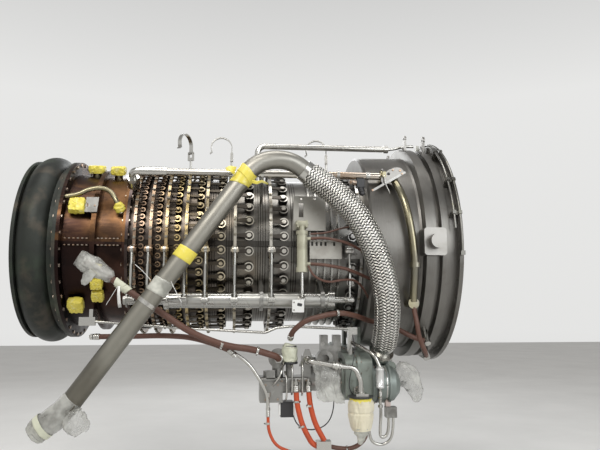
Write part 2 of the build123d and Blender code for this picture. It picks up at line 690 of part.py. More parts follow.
def make_comb():
    """The notched bracket beside the actuator, on two posts that stand on the casing."""
    x0, x1, y, z0, z1 = -820.0, -640.0, -508.0, -86.0, 14.0
    comb = block(x0, x1, y, y + 5, z0, z1) + block(x0, x1, y - 26, y + 5, z1 - 5, z1)
    for x in [x0 + 14 + 25 * k for k in range(4)] + [x0 + 138]:
        comb -= block(x - 6, x + 6, y - 30, y - 8, z1 - 10, z1 + 5)
        comb -= block(x - 6, x + 6, y - 1, y + 6, z1 - 28, z1 - 5)
    for x in (x0 + 24, x1 - 40):
        comb += rod_y(x, y + 4, -CASE_R + 12, -60, 10)
    return (comb - case_lower).solids().sort_by(SortBy.VOLUME)[-1]


actuator_near = make_actuator()
hanger_near = make_actuator_hanger()
actuator_rod_near = make_actuator_rod()
slot_plate_near = make_slot_plate()
comb_bracket = make_comb()


# Rotor: drum, shafts, compressor blades and turbine
def blade(x, r0, r1, chord, stagger, thick, camber=0.12):
    """One blade at the top: a cambered plate from root to tip, set at its stagger angle."""
    half = chord / 2
    bow = chord * camber
    over = ThreePointArc((-half, 0), (0, bow + thick / 2), (half, 0))
    under = ThreePointArc((half, 0), (0, bow - thick / 2), (-half, 0))
    plane = Plane(origin=(x, 0, r0), x_dir=(cos(radians(stagger)), sin(radians(stagger)), 0),
                  z_dir=(0, 0, 1))
    return extrude(plane * make_face([over, under]), amount=r1 - r0).solid()


def blade_ring(x, count, r0, r1, chord, stagger, thick, first=0.0):
    one = blade(x, r0, r1, chord, stagger, thick)
    return [around(one, 360 / count * k + first) for k in range(count)]


def bladed_ring(x, count, r0, r1, chord, stagger, thick):
    """A row of rotor blades on its platform ring, as one piece."""
    half = chord * 0.42
    platform = turned([(x - half, r0), (x + half, r0), (x + half, r0 + 3), (x - half, r0 + 3)])
    return (platform + blade_ring(x, count, r0 + 1, r1, chord, stagger, thick)).solid()


drum = turned([
    (JOURNAL_FRONT_X, JOURNAL_R - 22), (JOURNAL_FRONT_X, JOURNAL_R), (ROTOR_FRONT_X + 20, JOURNAL_R),
    (ROTOR_FRONT_X, JOURNAL_R + 30), (ROTOR_FRONT_X, ROTOR_FRONT_R - 12),
    (ROTOR_FRONT_X - 14, ROTOR_FRONT_R), (ROTOR_REAR_X, ROTOR_REAR_R),
    (ROTOR_REAR_X, ROTOR_REAR_R - 60), (ROTOR_REAR_X + 80, ROTOR_REAR_R - 70),
    (ROTOR_FRONT_X - 90, ROTOR_FRONT_R - 60), (ROTOR_FRONT_X - 90, JOURNAL_R - 22),
])
rotor_blades = []
for row in range(len(VANE_ROWS)):
    vane_x = VANE_ROWS[row][0]
    next_x = VANE_ROWS[row + 1][0] if row + 1 < len(VANE_ROWS) else vane_x - 62
    blade_x = (vane_x + next_x) / 2 if row else vane_x - 62
    chord = 62.0 - 4.5 * row
    root = drum_radius(blade_x - chord / 2) + 0.2
    tip = case_bore(blade_x - chord / 2) - TIP_GAP
    rotor_blades.append(bladed_ring(
        blade_x, BLADE_COUNT_FRONT + BLADE_COUNT_STEP * row, root, tip, chord, 48, 5.0,
    ))

# Fixed and variable vanes inside the casing, one under each spindle boss
stator_vanes = []
for row, (x, ring_x, count, boss_d) in enumerate(VANE_ROWS):
    chord = 50.0 - 4.0 * row
    hub_r = HUB_R if row == 0 else drum_radius(x - chord / 2)
    outer = case_bore(x - chord / 2) - SEAT_GAP
    stator_vanes += blade_ring(
        x, count, hub_r + 8, outer, chord, -24, 5.0, first=vane_angles(count)[0],
    )

# Turbine disc, shaft and turbine blades at the rear
turbine_disc = turned([
    (ROTOR_REAR_X, TURBINE_SHAFT_R - 30), (ROTOR_REAR_X, ROTOR_REAR_R - 4),
    (ROTOR_REAR_X - 14, ROTOR_REAR_R - 4), (ROTOR_REAR_X - 20, 120),
    (ROTOR_REAR_X - 60, TURBINE_SHAFT_R), (TURBINE_X + 60, TURBINE_SHAFT_R),
    (TURBINE_X + 26, 120), (TURBINE_X + 16, 240),
    (TURBINE_X + 34, TURBINE_DISC_R), (TURBINE_X - 34, TURBINE_DISC_R), (TURBINE_X - 16, 240),
    (TURBINE_X - 26, 120), (TURBINE_X - 50, TURBINE_SHAFT_R),
    (REAR_FRAME_END_X + 4, TURBINE_SHAFT_R), (REAR_FRAME_END_X + 4, 0),
    (REAR_FRAME_END_X + 24, 0), (REAR_FRAME_END_X + 24, TURBINE_SHAFT_R - 30),
])
turbine_blades = bladed_ring(
    TURBINE_X, TURBINE_BLADE_COUNT, TURBINE_DISC_R + 0.2, EXHAUST_R - TIP_GAP, 44, -40, 6.0,
)

# Front bearing, pressed into the hub round the rotor's journal
front_bearing = turned([
    (JOURNAL_FRONT_X - 20, JOURNAL_R + RUNNING_GAP), (JOURNAL_FRONT_X - 20, HUB_BORE_R),
    (JOURNAL_FRONT_X - 80, HUB_BORE_R), (JOURNAL_FRONT_X - 80, JOURNAL_R + RUNNING_GAP),
])


# Hook clamps on the top: a fork on a post and a hinged band
def make_clamp_post(x, turn):
    """A post on the casing with a fork and the band's hinge pin; the fork faces its band."""
    foot = rod_z(x, CLAMP_Y, CASE_R - 12, CLAMP_HINGE_Z - 40, CLAMP_POST_T / 2)
    fork = block(-9, 9, -CLAMP_BAND_W / 2 - 6, CLAMP_BAND_W / 2 + 6, -48, -30)
    for side in (-1, 1):
        inner = side * (CLAMP_BAND_W / 2 + 1)
        outer = side * (CLAMP_BAND_W / 2 + 6)
        fork += block(-9, 9, inner, outer, -48, 0)
        fork += rod_y(0, inner, outer, 0, 9)
    fork += rod_y(0, -CLAMP_BAND_W / 2 - 9, CLAMP_BAND_W / 2 + 9, 0, CLAMP_PIN_R)
    fork = Pos(x, CLAMP_Y, CLAMP_HINGE_Z) * Rot(0, 0, turn) * fork
    return (foot + fork - case_envelope).solids().sort_by(SortBy.VOLUME)[-1]


def make_clamp_band(x, turn):
    """A hook shaped band: a hinge eye, a straight shank, an arc and a turned out tip."""
    mid_r = CLAMP_BAND_R + CLAMP_BAND_T / 2
    rise = 40.0
    shank = Line((0, 4), (0, rise))
    arc = CenterArc((-mid_r, rise), mid_r, 0, 205)
    end = arc @ 1
    tip = Line(end, (end.X - 12, end.Y - 10))
    band = make_face(offset(Curve() + [shank, arc, tip], amount=CLAMP_BAND_T / 2))
    band = slab_y(band, -CLAMP_BAND_W / 2, CLAMP_BAND_W / 2)
    band += rod_y(0, -CLAMP_BAND_W / 2, CLAMP_BAND_W / 2, 0, 8)
    band -= rod_y(0, -CLAMP_BAND_W, CLAMP_BAND_W, 0, CLAMP_PIN_R + RUNNING_GAP)
    return (Pos(x, CLAMP_Y, CLAMP_HINGE_Z) * Rot(0, 0, turn) * band).solid()


clamp_posts = [make_clamp_post(x, turn) for x, turn in CLAMP_STATIONS]
clamp_bands = [make_clamp_band(x, turn) for x, turn in CLAMP_STATIONS]


# Top pipe: a hollow pipe with a collar, an elbow down to a union at its rear, and its saddles
def seated(shape, *carriers):
    """The largest piece of a shape that is left outside what it stands on."""
    for carrier in carriers:
        shape = shape - carrier
    return shape.solids().sort_by(SortBy.VOLUME)[-1]


top_pipe = tube(
    [(TOP_PIPE_X[0], TOP_PIPE_Y, TOP_PIPE_Z), (TOP_PIPE_X[1], TOP_PIPE_Y, TOP_PIPE_Z)],
    TOP_PIPE_R, TOP_PIPE_R - 2.5,
)
top_collar = rod_x(TOP_PIPE_X[0] + 4, TOP_PIPE_X[0] + 150, TOP_PIPE_Y, TOP_PIPE_Z, TOP_PIPE_R + 6)
top_collar = (top_collar - rod_x(-1900, -300, TOP_PIPE_Y, TOP_PIPE_Z, TOP_PIPE_R)).solid()
LEG_X = -1798.0
LEG_R = 13.0
pipe_angle = degrees(atan2(-TOP_PIPE_Y, TOP_PIPE_Z))
pipe_reach = sqrt(TOP_PIPE_Y**2 + TOP_PIPE_Z**2)
inward = Vector(0, -TOP_PIPE_Y, -TOP_PIPE_Z).normalized()
elbow_end = Vector(LEG_X, TOP_PIPE_Y, TOP_PIPE_Z) + inward * 44
union_elbow = tube(
    [(TOP_PIPE_X[0], TOP_PIPE_Y, TOP_PIPE_Z), (LEG_X, TOP_PIPE_Y, TOP_PIPE_Z), tuple(elbow_end)],
    TOP_PIPE_R, TOP_PIPE_R - 2.5, radii=[30],
)
union_z = pipe_reach - 44
union = slab_z(Pos(LEG_X, 0) * RegularPolygon(38, 6), union_z - 20, union_z)
union += rod_z(LEG_X, 0, union_z - 66, union_z - 20, 34)
union += rod_z(LEG_X, 0, CASE_R - 12, union_z - 66, LEG_R)
union = around((union - case_envelope).solid(), pipe_angle)
pipe_saddles = []
for x in (-1262.0, -1086.0, -657.0):
    saddle = block(x - 8, x + 8, -14, 14, CASE_R - 10, pipe_reach - TOP_PIPE_R - 3)
    saddle += block(x - 8, x + 8, -34, 34, pipe_reach - TOP_PIPE_R - 10, pipe_reach)
    saddle += rod_x(x - 8, x + 8, 0, pipe_reach, TOP_PIPE_R + 7)
    saddle -= rod_x(x - 9, x + 9, 0, pipe_reach, TOP_PIPE_R)
    saddle = seated(saddle, case_envelope)
    pipe_saddles.append(around(saddle, pipe_angle))

# Upper tube: an elbow up from the casing, the sleeved run and a thin line on to the frame
upper_tube = tube(
    [(UPPER_TUBE_X[0], UPPER_TUBE_Y, 500), (UPPER_TUBE_X[0], UPPER_TUBE_Y, UPPER_TUBE_Z),
     (UPPER_TUBE_X[1], UPPER_TUBE_Y, UPPER_TUBE_Z)],
    UPPER_TUBE_R, UPPER_TUBE_R - 3, radii=[46],
)
upper_foot = rod_z(UPPER_TUBE_X[0], UPPER_TUBE_Y, CASE_R - 40, 500, UPPER_TUBE_R + 5)
upper_foot = seated(upper_foot, case_envelope)
upper_nut = rod_x(UPPER_TUBE_X[1], UPPER_TUBE_X[1] + 30, UPPER_TUBE_Y, UPPER_TUBE_Z, 24)
upper_line = tube(
    [(UPPER_TUBE_X[1] + 30, UPPER_TUBE_Y, UPPER_TUBE_Z), (-212, UPPER_TUBE_Y, UPPER_TUBE_Z + 6),
     (-150, UPPER_TUBE_Y, UPPER_TUBE_Z + 24), (-92, UPPER_TUBE_Y, UPPER_TUBE_Z + 24)],
    9,
)
upper_line = seated(upper_line, upper_nut)

# Lifting ears on the front frame's bands
EAR_T = 14.0


def make_ear(x, angle, top_r):
    """A lifting ear with a hole, standing on the front frame."""
    plan = outline((-38, 600), (-16, top_r - 12), (16, top_r - 12), (38, 600))
    plan = plan + Pos(0, top_r - 12) * Circle(18) - Pos(0, top_r - 14) * Circle(8)
    return around(seated(slab_x(plan, x - EAR_T / 2, x + EAR_T / 2), front_frame), angle)


ears = [make_ear(x, a, 742) for x, a in ((-170, 14), (-89, 24), (-44, 12), (-170, -20), (-44, -22.5))]

# Delivery pipe: one bent pipe with an open lower end, its collar, port boss and braided hose
DELIVERY_ROUTE = [
    (-2140, -765, -925), (-2012, -765, -822), (-1114, -695, 428), (-938, -672, 428),
    (-835, -655, 356),
]
delivery_pipe = tube(
    DELIVERY_ROUTE, DELIVERY_R, DELIVERY_R - DELIVERY_WALL, radii=[120, 200, 190],
)
delivery_core = tube(DELIVERY_ROUTE, DELIVERY_R, radii=[120, 200, 190])
HOSE_ROUTE = [
    (-835, -655, 356), (-640, -690, 218), (-500, -712, -20), (-432, -690, -270),
    (-412, -610, -440), (-412, -520, HOSE_END_Z),
]
hose_radii = bend_radii(HOSE_ROUTE, share=0.48)
hose = seated(tube(HOSE_ROUTE, HOSE_R, radii=hose_radii), delivery_pipe)
pipe_end = Vector(*DELIVERY_ROUTE[-1]) - Vector(*DELIVERY_ROUTE[-2])
collar_plane = Plane(origin=DELIVERY_ROUTE[-1], z_dir=pipe_end)
hose_collar = extrude(collar_plane.offset(-46) * (Circle(DELIVERY_R + 9) - Circle(DELIVERY_R)),
                      amount=46).solid()
hose_collar = seated(hose_collar, hose)

# Hose neck and its flange on the starter's inlet
neck_dir = (Vector(*HOSE_ROUTE[-1]) - Vector(*HOSE_ROUTE[-2])).normalized()
NECK_LEN = 74.0
neck_plane = Plane(origin=HOSE_ROUTE[-1], z_dir=neck_dir)
neck = loft([neck_plane * Circle(HOSE_R - 3), neck_plane.offset(NECK_LEN) * Circle(44)]).solid()
neck_end = Vector(*HOSE_ROUTE[-1]) + neck_dir * NECK_LEN
flange_plane = Plane(origin=neck_end, z_dir=neck_dir)
neck_flange = extrude(flange_plane * Circle(64), amount=12).solid()

# Starter on the gearbox's forward face, with its inlet branch
starter = revolve(
    make_face(Polyline(
        (STARTER_X[0], 0, 0), (STARTER_X[0], STARTER_R + 14, 0),
        (STARTER_X[0] + 14, STARTER_R + 14, 0), (STARTER_X[0] + 14, STARTER_R, 0),
        (STARTER_X[0] + 92, STARTER_R, 0), (STARTER_X[0] + 92, STARTER_R + 8, 0),
        (STARTER_X[0] + 104, STARTER_R + 8, 0), (STARTER_X[0] + 104, STARTER_R - 4, 0),
        (STARTER_X[1] - 30, STARTER_R - 10, 0), (STARTER_X[1] - 8, STARTER_R - 34, 0),
        (STARTER_X[1], STARTER_R - 44, 0), (STARTER_X[1], 0, 0), close=True)),
    axis=Axis.X,
)
starter = Pos(0, STARTER_Y, STARTER_Z) * starter
branch = extrude(flange_plane.offset(12) * Circle(48), amount=70)
branch += extrude(flange_plane.offset(12) * Circle(62), amount=10)
starter = (starter + branch).solid()


# Gearbox: an arched casting under the frame with pads, hangers and the drive shaft housing
def make_gearbox():
    y0, y1 = GEARBOX_Y
    plan = outline(
        (y0, GEARBOX_TOP_Z - 30), (y0 + 90, GEARBOX_TOP_Z), (y1 - 60, GEARBOX_TOP_Z),
        (y1, GEARBOX_TOP_Z - 60), (y1, GEARBOX_BOTTOM_Z + 90), (y1 - 120, GEARBOX_BOTTOM_Z),
        (y0 + 160, GEARBOX_BOTTOM_Z), (y0, GEARBOX_BOTTOM_Z + 30),
    )
    plan = fillet(plan.vertices(), 26)
    box = slab_x(plan, *GEARBOX_X)
    middle = (GEARBOX_X[0] + GEARBOX_X[1]) / 2
    rim = slab_x(offset(plan, amount=9), middle - 9, middle + 9)
    box += rim
    for y, z, r in ((-430, -735, 104), (-190, -720, 78), (40, -735, 92), (290, -725, 78)):
        box += rod_x(GEARBOX_X[0] - 10, GEARBOX_X[0], y, z, r)
    box += rod_x(GEARBOX_X[1], GEARBOX_X[1] + 8, 260, -720, 80)
    for y in (-300, 120):
        box += block(GEARBOX_X[0] - 6, GEARBOX_X[0], y - 5, y + 5, -840, -620)
    return box.solid()


gearbox = make_gearbox()
gear_hangers = [
    block(CASE_FRONT_X - 20, CASE_FRONT_X, y - 32, y + 32, GEARBOX_TOP_Z, -470) for y in (-230, 230)
]
gear_hangers += [
    block(CASE_FRONT_X - 20, CASE_FRONT_X + 30, y - 32, y + 32, GEARBOX_TOP_Z - 14, GEARBOX_TOP_Z)
    for y in (-230, 230)
]
hangers = [seated(gear_hangers[k] + gear_hangers[k + 2], front_frame, gearbox) for k in (0, 1)]
transfer_case = rod_z(STRUT_X, 0, -560, -668, 58) + rod_z(STRUT_X, 0, -668, -686, 84)
transfer_case += fillet(block(-410, -230, -84, 84, -830, -686).edges().filter_by(Axis.Y), 34)
transfer_case += rod_x(GEARBOX_X[1], -400, 0, -760, 52)
transfer_case = seated(transfer_case, front_frame, gearbox)

# Accessories on the gearbox's rear face and below it
def turned_at(y, z, points):
    """A body turned about an axis along X from (x, radius) points."""
    face = make_face(Polyline(*[(x, r, 0) for x, r in points], close=True))
    return (Pos(0, y, z) * revolve(face, axis=Axis.X)).solid()


pad_x = GEARBOX_X[0] - 10
fuel_pump = turned_at(-430, -735, [
    (pad_x, 0), (pad_x, 92), (pad_x - 16, 92), (pad_x - 20, 84), (pad_x - 110, 84),
    (pad_x - 116, 74), (pad_x - 186, 70), (pad_x - 192, 40), (pad_x - 192, 0),
])
oil_pump = turned_at(-190, -720, [
    (pad_x, 0), (pad_x, 70), (pad_x - 14, 70), (pad_x - 18, 60), (pad_x - 160, 56),
    (pad_x - 166, 0),
])
separator = turned_at(40, -735, [
    (pad_x, 0), (pad_x, 84), (pad_x - 14, 84), (pad_x - 18, 76), (pad_x - 120, 76),
    (pad_x - 150, 40), (pad_x - 150, 0),
])
hydraulic_pump = turned_at(290, -725, [
    (pad_x, 0), (pad_x, 70), (pad_x - 14, 70), (pad_x - 18, 54), (pad_x - 130, 54),
    (pad_x - 136, 0),
])
pump_end = pad_x - 192
fuel_valve = block(pump_end - 250, pump_end, -560, -430, -800, -718)
fuel_valve = fillet(fuel_valve.edges().filter_by(Axis.X), 14)
fuel_valve += block(pump_end - 250, pump_end - 130, -572, -430, -846, -740)
fuel_valve += rod_y(pump_end - 60, -586, -440, -762, 26)
fuel_valve += rod_z(pump_end - 196, -500, -718, -690, 34)
fuel_valve = fuel_valve.solid()
PORT = (-994.0, -500.0, -622.0)
port_body = rod_y(PORT[0], PORT[1] - 22, PORT[1] + 44, PORT[2], 40)
port_body += rod_y(PORT[0], PORT[1] - 32, PORT[1] - 22, PORT[2], 52)
port_body += rod_z(PORT[0], PORT[1] + 10, -718, PORT[2], 30)
port_fitting = slab_y(Pos(PORT[0], PORT[2]) * RegularPolygon(26, 6), PORT[1] - 60, PORT[1] - 32)
port_body = seated(port_body, fuel_valve)
cap_body = rod_z(-932, -520, -718, -640, 20) + rod_z(-932, -520, -640, -556, 38)
valve_ports = (port_body + seated(cap_body, fuel_valve)).solid()

# Slotted block, round boss and lug plate above the pump
slot_block = block(-763, -653, -530, -470, -588, -502) - block(-724, -694, -540, -460, -556, -500)
slot_block += block(-748, -668, -520, -480, -660, -588)
slot_block += rod_y(-742, -545, -480, -626, 44)
slot_block -= rod_y(-742, -560, -500, -626, 22)
slot_block = seated(slot_block, fuel_pump, gearbox)
lug_plate = slab_y(
    outline((-886, -662), (-852, -572), (-830, -572), (-794, -662)) - Pos(-841, -628) * Circle(15),
    -566, -556,
)
lug_plate += block(-866, -822, -556, -470, -720, -650)
lug_plate = seated(lug_plate, fuel_pump, fuel_valve)

# Ball ended crossover pipe, and the wrapped canister that it feeds
CANISTER = (-574.0, -660.0, -812.0)
crossover = tube(
    [(-841, -566, -628), (-841, -640, -628), (-697, -660, -652), (-600, -660, -664),
     (-574, -660, -728), CANISTER],
    13, 10, radii=[26, 200, 44, 60],
)
cross_nut = slab_z(Pos(CANISTER[0], CANISTER[1]) * RegularPolygon(30, 6), -806, -788)
cross_nut = (cross_nut - crossover - rod_z(CANISTER[0], CANISTER[1], -830, -770, 12)).solid()
canister = Pos(CANISTER[0], CANISTER[1]) * revolve(
    make_face([
        Line((0, 0, -812), (46, 0, -812)),
        Spline((46, 0, -812), (62, 0, -850), (58, 0, -910), (50, 0, -968), (22, 0, -996)),
        Line((22, 0, -996), (14, 0, -1044)), Line((14, 0, -1044), (0, 0, -1048)),
        Line((0, 0, -1048), (0, 0, -812)),
    ]),
    axis=Axis.Z,
).solid()
canister_arm = block(-600, -548, -612, -588, -806, -770) + block(-606, -542, -704, -600, -804, -790)
canister_arm = seated(canister_arm, gearbox, cross_nut, crossover)
cross_ball = Pos(-841, -592, -628) * Sphere(22) + rod_y(-841, -592, -566, -628, 19)
cross_ball = seated(cross_ball, crossover, lug_plate)

# Silver control rod along the casing, its end brackets and its steps
ROD_ROUTE = [
    (-2025, -424, -424), (-1523, -442, -464), (-1060, -462, -490), (-1000, -464, -464),
    (-924, -468, -456), (-560, -500, -472),
]
control_rod = tube(ROD_ROUTE, 7.5, radii=[300, 60, 40, 60])
rod_bracket_rear = block(-2060, -1975, -436, -412, -450, -404) + block(
    -2010, -1990, -424, -300, -424, -362)
rod_bracket_rear = seated(rod_bracket_rear, rear_lower, control_rod)
rod_post_front = block(-610, -560, -520, -480, -620, -460) - block(-590, -550, -530, -470, -610, -500)
rod_post_front = seated(rod_post_front, gearbox, control_rod)

# Band clamp at the top pipe's front end, and the brass pipe down the drum
V_BAND_X = TOP_PIPE_X[1]
v_band = rod_x(V_BAND_X - 14, V_BAND_X + 14, TOP_PIPE_Y, TOP_PIPE_Z, 34)
v_band -= rod_x(V_BAND_X - 20, V_BAND_X + 20, TOP_PIPE_Y, TOP_PIPE_Z, TOP_PIPE_R)
v_band += block(V_BAND_X - 9, V_BAND_X + 9, TOP_PIPE_Y - 58, TOP_PIPE_Y - 30, TOP_PIPE_Z - 16,
                TOP_PIPE_Z + 16)
v_band = v_band.solid()
brass_pipe = tube(
    [(V_BAND_X, TOP_PIPE_Y, TOP_PIPE_Z), (-344, TOP_PIPE_Y, TOP_PIPE_Z), (-312, -604, 262),
     (-290, -638, 140),
     (-272, -650, 0), (-262, -642, -125), (-266, -600, -318)],
    TOP_PIPE_R, TOP_PIPE_R - 2.5,
)
pipe_clip = rod_z(-262, -642, -138, -112, TOP_PIPE_R + 7) + block(-276, -248, -650, -580, -136, -114)
pipe_clip = seated(pipe_clip, front_frame, brass_pipe)
pipe_foot = rod_y(-266, -612, -570, -330, 30) + rod_y(-266, -606, -480, -330, 24)
pipe_foot = seated(pipe_foot, front_frame, brass_pipe)

# Thin tubes round the front rim, held by clips
RIM_TUBES = [(-14.0, 692.0, -4.0, 96.0), (-46.0, 690.0, 24.0, 84.0)]


def rim_point(x, r, angle):
    return (x, -r * sin(radians(angle)), r * cos(radians(angle)))


rim_tubes = []
for x, r, start, end in RIM_TUBES:
    arc = ThreePointArc(
        rim_point(x, r, start), rim_point(x, r, (start + end) / 2), rim_point(x, r, end),
    )
    ring_tube = sweep(Plane(origin=arc @ 0, z_dir=arc % 0) * Circle(7), path=arc).solid()
    rim_tubes.append(ring_tube)
rim_clips = []
for angle in (3, 34, 58.5, 76.5):
    clip = block(-56, -4, -10, 10, 640, 702) - block(-37, -23, -20, 20, 684, 710)
    clip = around(clip, angle)
    rim_clips.append(seated(clip, front_frame, *rim_tubes))
rim_end = around(block(-26, -2, -12, 12, 682, 706), 95)
rim_end = seated(rim_end + around(block(-24, -4, -9, 9, 660, 690), 95), front_frame, rim_tubes[0])

# Oil hoses held by the engine, each along its route between its fittings
def hose_line(points, r):
    return tube(points, r, radii=bend_radii(points, share=0.46))


oil_hoses = [
    hose_line([(-1990, -650, -118), (-1900, -650, -172), (-1770, -650, -269), (-1610, -652, -372),
               (-1440, -652, -486), (-1270, -650, -548), (-1130, -648, -566), (-1010, -632, -604),
               (PORT[0], PORT[1] - 96, PORT[2]), (PORT[0], PORT[1] - 60, PORT[2])], 17),
    hose_line([(-1950, -440, -508), (-1774, -470, -506), (-1600, -545, -498), (-1452, -600, -505),
               (-1327, -614, -540), (-1235, -618, -580)], 14),
    hose_line([(-932, -560, -520), (-926, -612, -478), (-862, -646, -420), (-690, -664, -376),
               (-570, -570, -398), (-480, -478, -430), (-360, -478, -452), (-250, -500, -515),
               (-170, -520, -540)], 14),
    hose_line([(-822, -560, 20), (-750, -586, 24), (-640, -606, 0), (-560, -592, -36),
               (CASE_FRONT_X, -560, -66)], 8),
    hose_line([(-822, -560, -118), (-750, -586, -124), (-630, -604, -146), (-560, -586, -172),
               (CASE_FRONT_X, -540, -196)], 9),
    hose_line([(-838, -588, -130), (-812, -602, -186), (-735, -606, -222), (-655, -602, -204),
               (-580, -584, -204), (-530, -560, -250), (CASE_FRONT_X, -490, -300)], 6),
    hose_line([(-822, -560, 46), (-740, -572, 50), (-650, -584, 78), (-560, -572, 96),
               (CASE_FRONT_X, -552, 120)], 5),
    hose_line([(-264, -600, -354), (-256, -622, -430), (-240, -610, -520), (-190, -560, -600),
               (-170, -500, -620)], 13),
]
drain_hoses = [
    hose_line([(-905, -600, -770), (-900, -602, -850), (-872, -606, -960), (-820, -604, -1052),
               (-770, -600, -1072)], 14),
    hose_line([(-839, -600, -770), (-832, -598, -850), (-806, -598, -950), (-757, -600, -1036)], 14),
    hose_line([(-1050, -600, -900), (-1048, -602, -980), (-1010, -606, -1056),
               (-900, -608, -1100), (-780, -604, -1104)], 8),
]

# Hose ends: fittings, elbows and the small braided line
hose_ends = [
    tube([(-1235, -618, -580), (-1150, -620, -640), (-1090, -616, -730), (-1052, -602, -800),
          (-1050, -600, -900)], 9),
    rod_z(-905, -600, -770, -722, 9) + rod_y(-905, -600, -558, -740, 8),
    rod_z(-839, -600, -770, -722, 9) + rod_y(-839, -600, -558, -740, 8),
    rod_z(-1050, -600, -812, -790, 13) + rod_y(-1050, -600, -570, -800, 8),
]
oil_hoses = [seated(line, actuator_near, front_frame, pipe_foot, lug_plate) for line in oil_hoses]
hose_ends[0] = seated(hose_ends[0], oil_hoses[1], drain_hoses[2])
hose_ends[1] = seated(hose_ends[1], fuel_valve, drain_hoses[0])
hose_ends[2] = seated(hose_ends[2], fuel_valve, fuel_pump, drain_hoses[1])
hose_ends[3] = seated(hose_ends[3], fuel_valve, hose_ends[0])
drain_block = block(-800, -724, -626, -574, -1116, -1036)
drain_block = seated(drain_block, *drain_hoses)
frame_elbows = []
for y, z in ((-520, -540), (-500, -620)):
    stub = Vector(0, y, z)
    plane = Plane(origin=(-170, y, z), z_dir=(0, -y, -z))
    elbow = extrude(plane.offset(-16) * Circle(19), amount=stub.length - 620)
    frame_elbows.append(seated(elbow, front_frame, *oil_hoses))
hose_clip = block(-1684, -1650, -712, -652, -352, -322)
clip_plane = Plane(origin=(-1660, -737.6, -332), z_dir=(898, 70, 1250))
hose_clip += extrude(clip_plane.offset(-10) * Circle(DELIVERY_R + 3), amount=20)
hose_clip = seated(hose_clip, delivery_core, *oil_hoses)
starter_tube = tube([(-597, -505, -540), (-560, -560, -560), (-493, -636, -600), (-467, -642, -664)],
                    10, radii=[40, 60])
starter_can = rod_z(-467, -642, -764, -664, 20) + rod_z(-467, -642, -850, -764, 7)
starter_can += block(-480, -454, -642, -596, -730, -716)
starter_can = seated(starter_can, starter, starter_tube)
starter_tube = seated(starter_tube, rod_post_front)

# Rear pipes: an olive tube along the rear casing, and stubs with blanking covers
olive_tube = tube(
    [(REAR_CASE_REAR_X + REAR_FLANGE_T, -436, 252), (-2100, -428, 265), (-2050, -416, 296),
     (-1985, -412, 310), (-1925, -428, 290), (-1882, -456, 226), (-1858, -443, 162)],
    13, 10,
)
olive_tube = seated(olive_tube, rear_upper)
covers = []
for x, angle, r in ((-2094, 66, 30), (-2070, 14, 34), (-1935, 20, 30), (-1975, 117, 22),
                    (-1975, 108, 22), (-1975, 126, 22), (-2100, 134, 30)):
    stub = rod_z(x, 0, REAR_CASE_R - 30, REAR_CASE_R + 44, r - 6)
    stub += rod_z(x, 0, REAR_CASE_R + 44, REAR_CASE_R + 58, r + 4)
    covers.append(around(stub, angle))
covers = [seated(stub, rear_upper, rear_lower, olive_tube) for stub in covers]


for row in range(len(VANE_ROWS)):
    x, ring_x, count, boss_d = VANE_ROWS[row]
    lever = make_lever(x, ring_x, boss_d)
    write(f"levers_{row}", *[around(lever, angle) for angle in vane_angles(count)])
    write(f"ring_{row}", make_ring(row))
bosses = []
for x, ring_x, count, boss_d in VANE_ROWS:
    boss = make_boss(x, boss_d)
    bosses += [around(boss, angle) for angle in vane_angles(count)]

write("clamp_posts", *clamp_posts)
for k, band in enumerate(clamp_bands):
    write(f"clamp_band_{k}", band)
write("top_pipe", top_pipe)
write("pipe_fittings", top_collar, union_elbow, union, *pipe_saddles)
write("upper_tube", upper_tube, upper_foot, upper_nut, upper_line)
write("frame_fittings", *ears, trunnion, mirrored(trunnion), front_bearing)
write("delivery_pipe", delivery_pipe)
write("hose_fittings", hose_collar, neck, neck_flange, *hose_ends, drain_block, *frame_elbows,
      starter_tube, starter_can, port_fitting, hose_clip)
write("braided_hose", hose)
write("starter", starter)
write("gearbox", gearbox)
write("gearbox_hangers", *hangers, transfer_case)
write("accessories", fuel_pump, oil_pump, separator, hydraulic_pump, fuel_valve, valve_ports,
      slot_block, lug_plate)
write("crossover_pipe", crossover, cross_nut, cross_ball, canister_arm)
write("canister", canister)
write("control_rod", control_rod, rod_bracket_rear, rod_post_front)
write("frame_pipes", v_band, brass_pipe, pipe_clip, pipe_foot, *rim_tubes, *rim_clips, rim_end)
write("oil_hoses", *oil_hoses)
write("drain_hoses", *drain_hoses)
write("rear_pipes", olive_tube, *covers)
write("front_frame", front_frame)
write("nose_cone", nose_cone)
write("case_upper", case_upper)
write("case_lower", case_lower)
write("rear_case_upper", rear_upper)
write("rear_case_lower", rear_lower)
write("rear_frame", rear_frame)
write("case_bolts", *flange_bolts, *split_bolts)
write("spindle_bosses", *bosses)
write("torque_shaft_near", shaft_near)
write("torque_shaft_far", mirrored(shaft_near))
write("links_near", *links_near)
write("links_far", *[mirrored(link) for link in links_near])
write("shaft_brackets", *bearings_near, *[mirrored(piece) for piece in bearings_near])
write("actuators", actuator_near, mirrored(actuator_near), hanger_near, mirrored(hanger_near))
write("actuator_rod_near", actuator_rod_near)
write("actuator_rod_far", mirrored(actuator_rod_near))
write("side_plates", slot_plate_near, mirrored(slot_plate_near), comb_bracket)
write("rotor_drum", drum)
write("rotor_blades", *rotor_blades, turbine_blades)
write("stator_vanes", *stator_vanes)
write("turbine_rotor", turbine_disc)
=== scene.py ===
from math import cos, hypot, pi, radians, sin, tan

import bmesh
import bpy
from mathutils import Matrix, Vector, noise

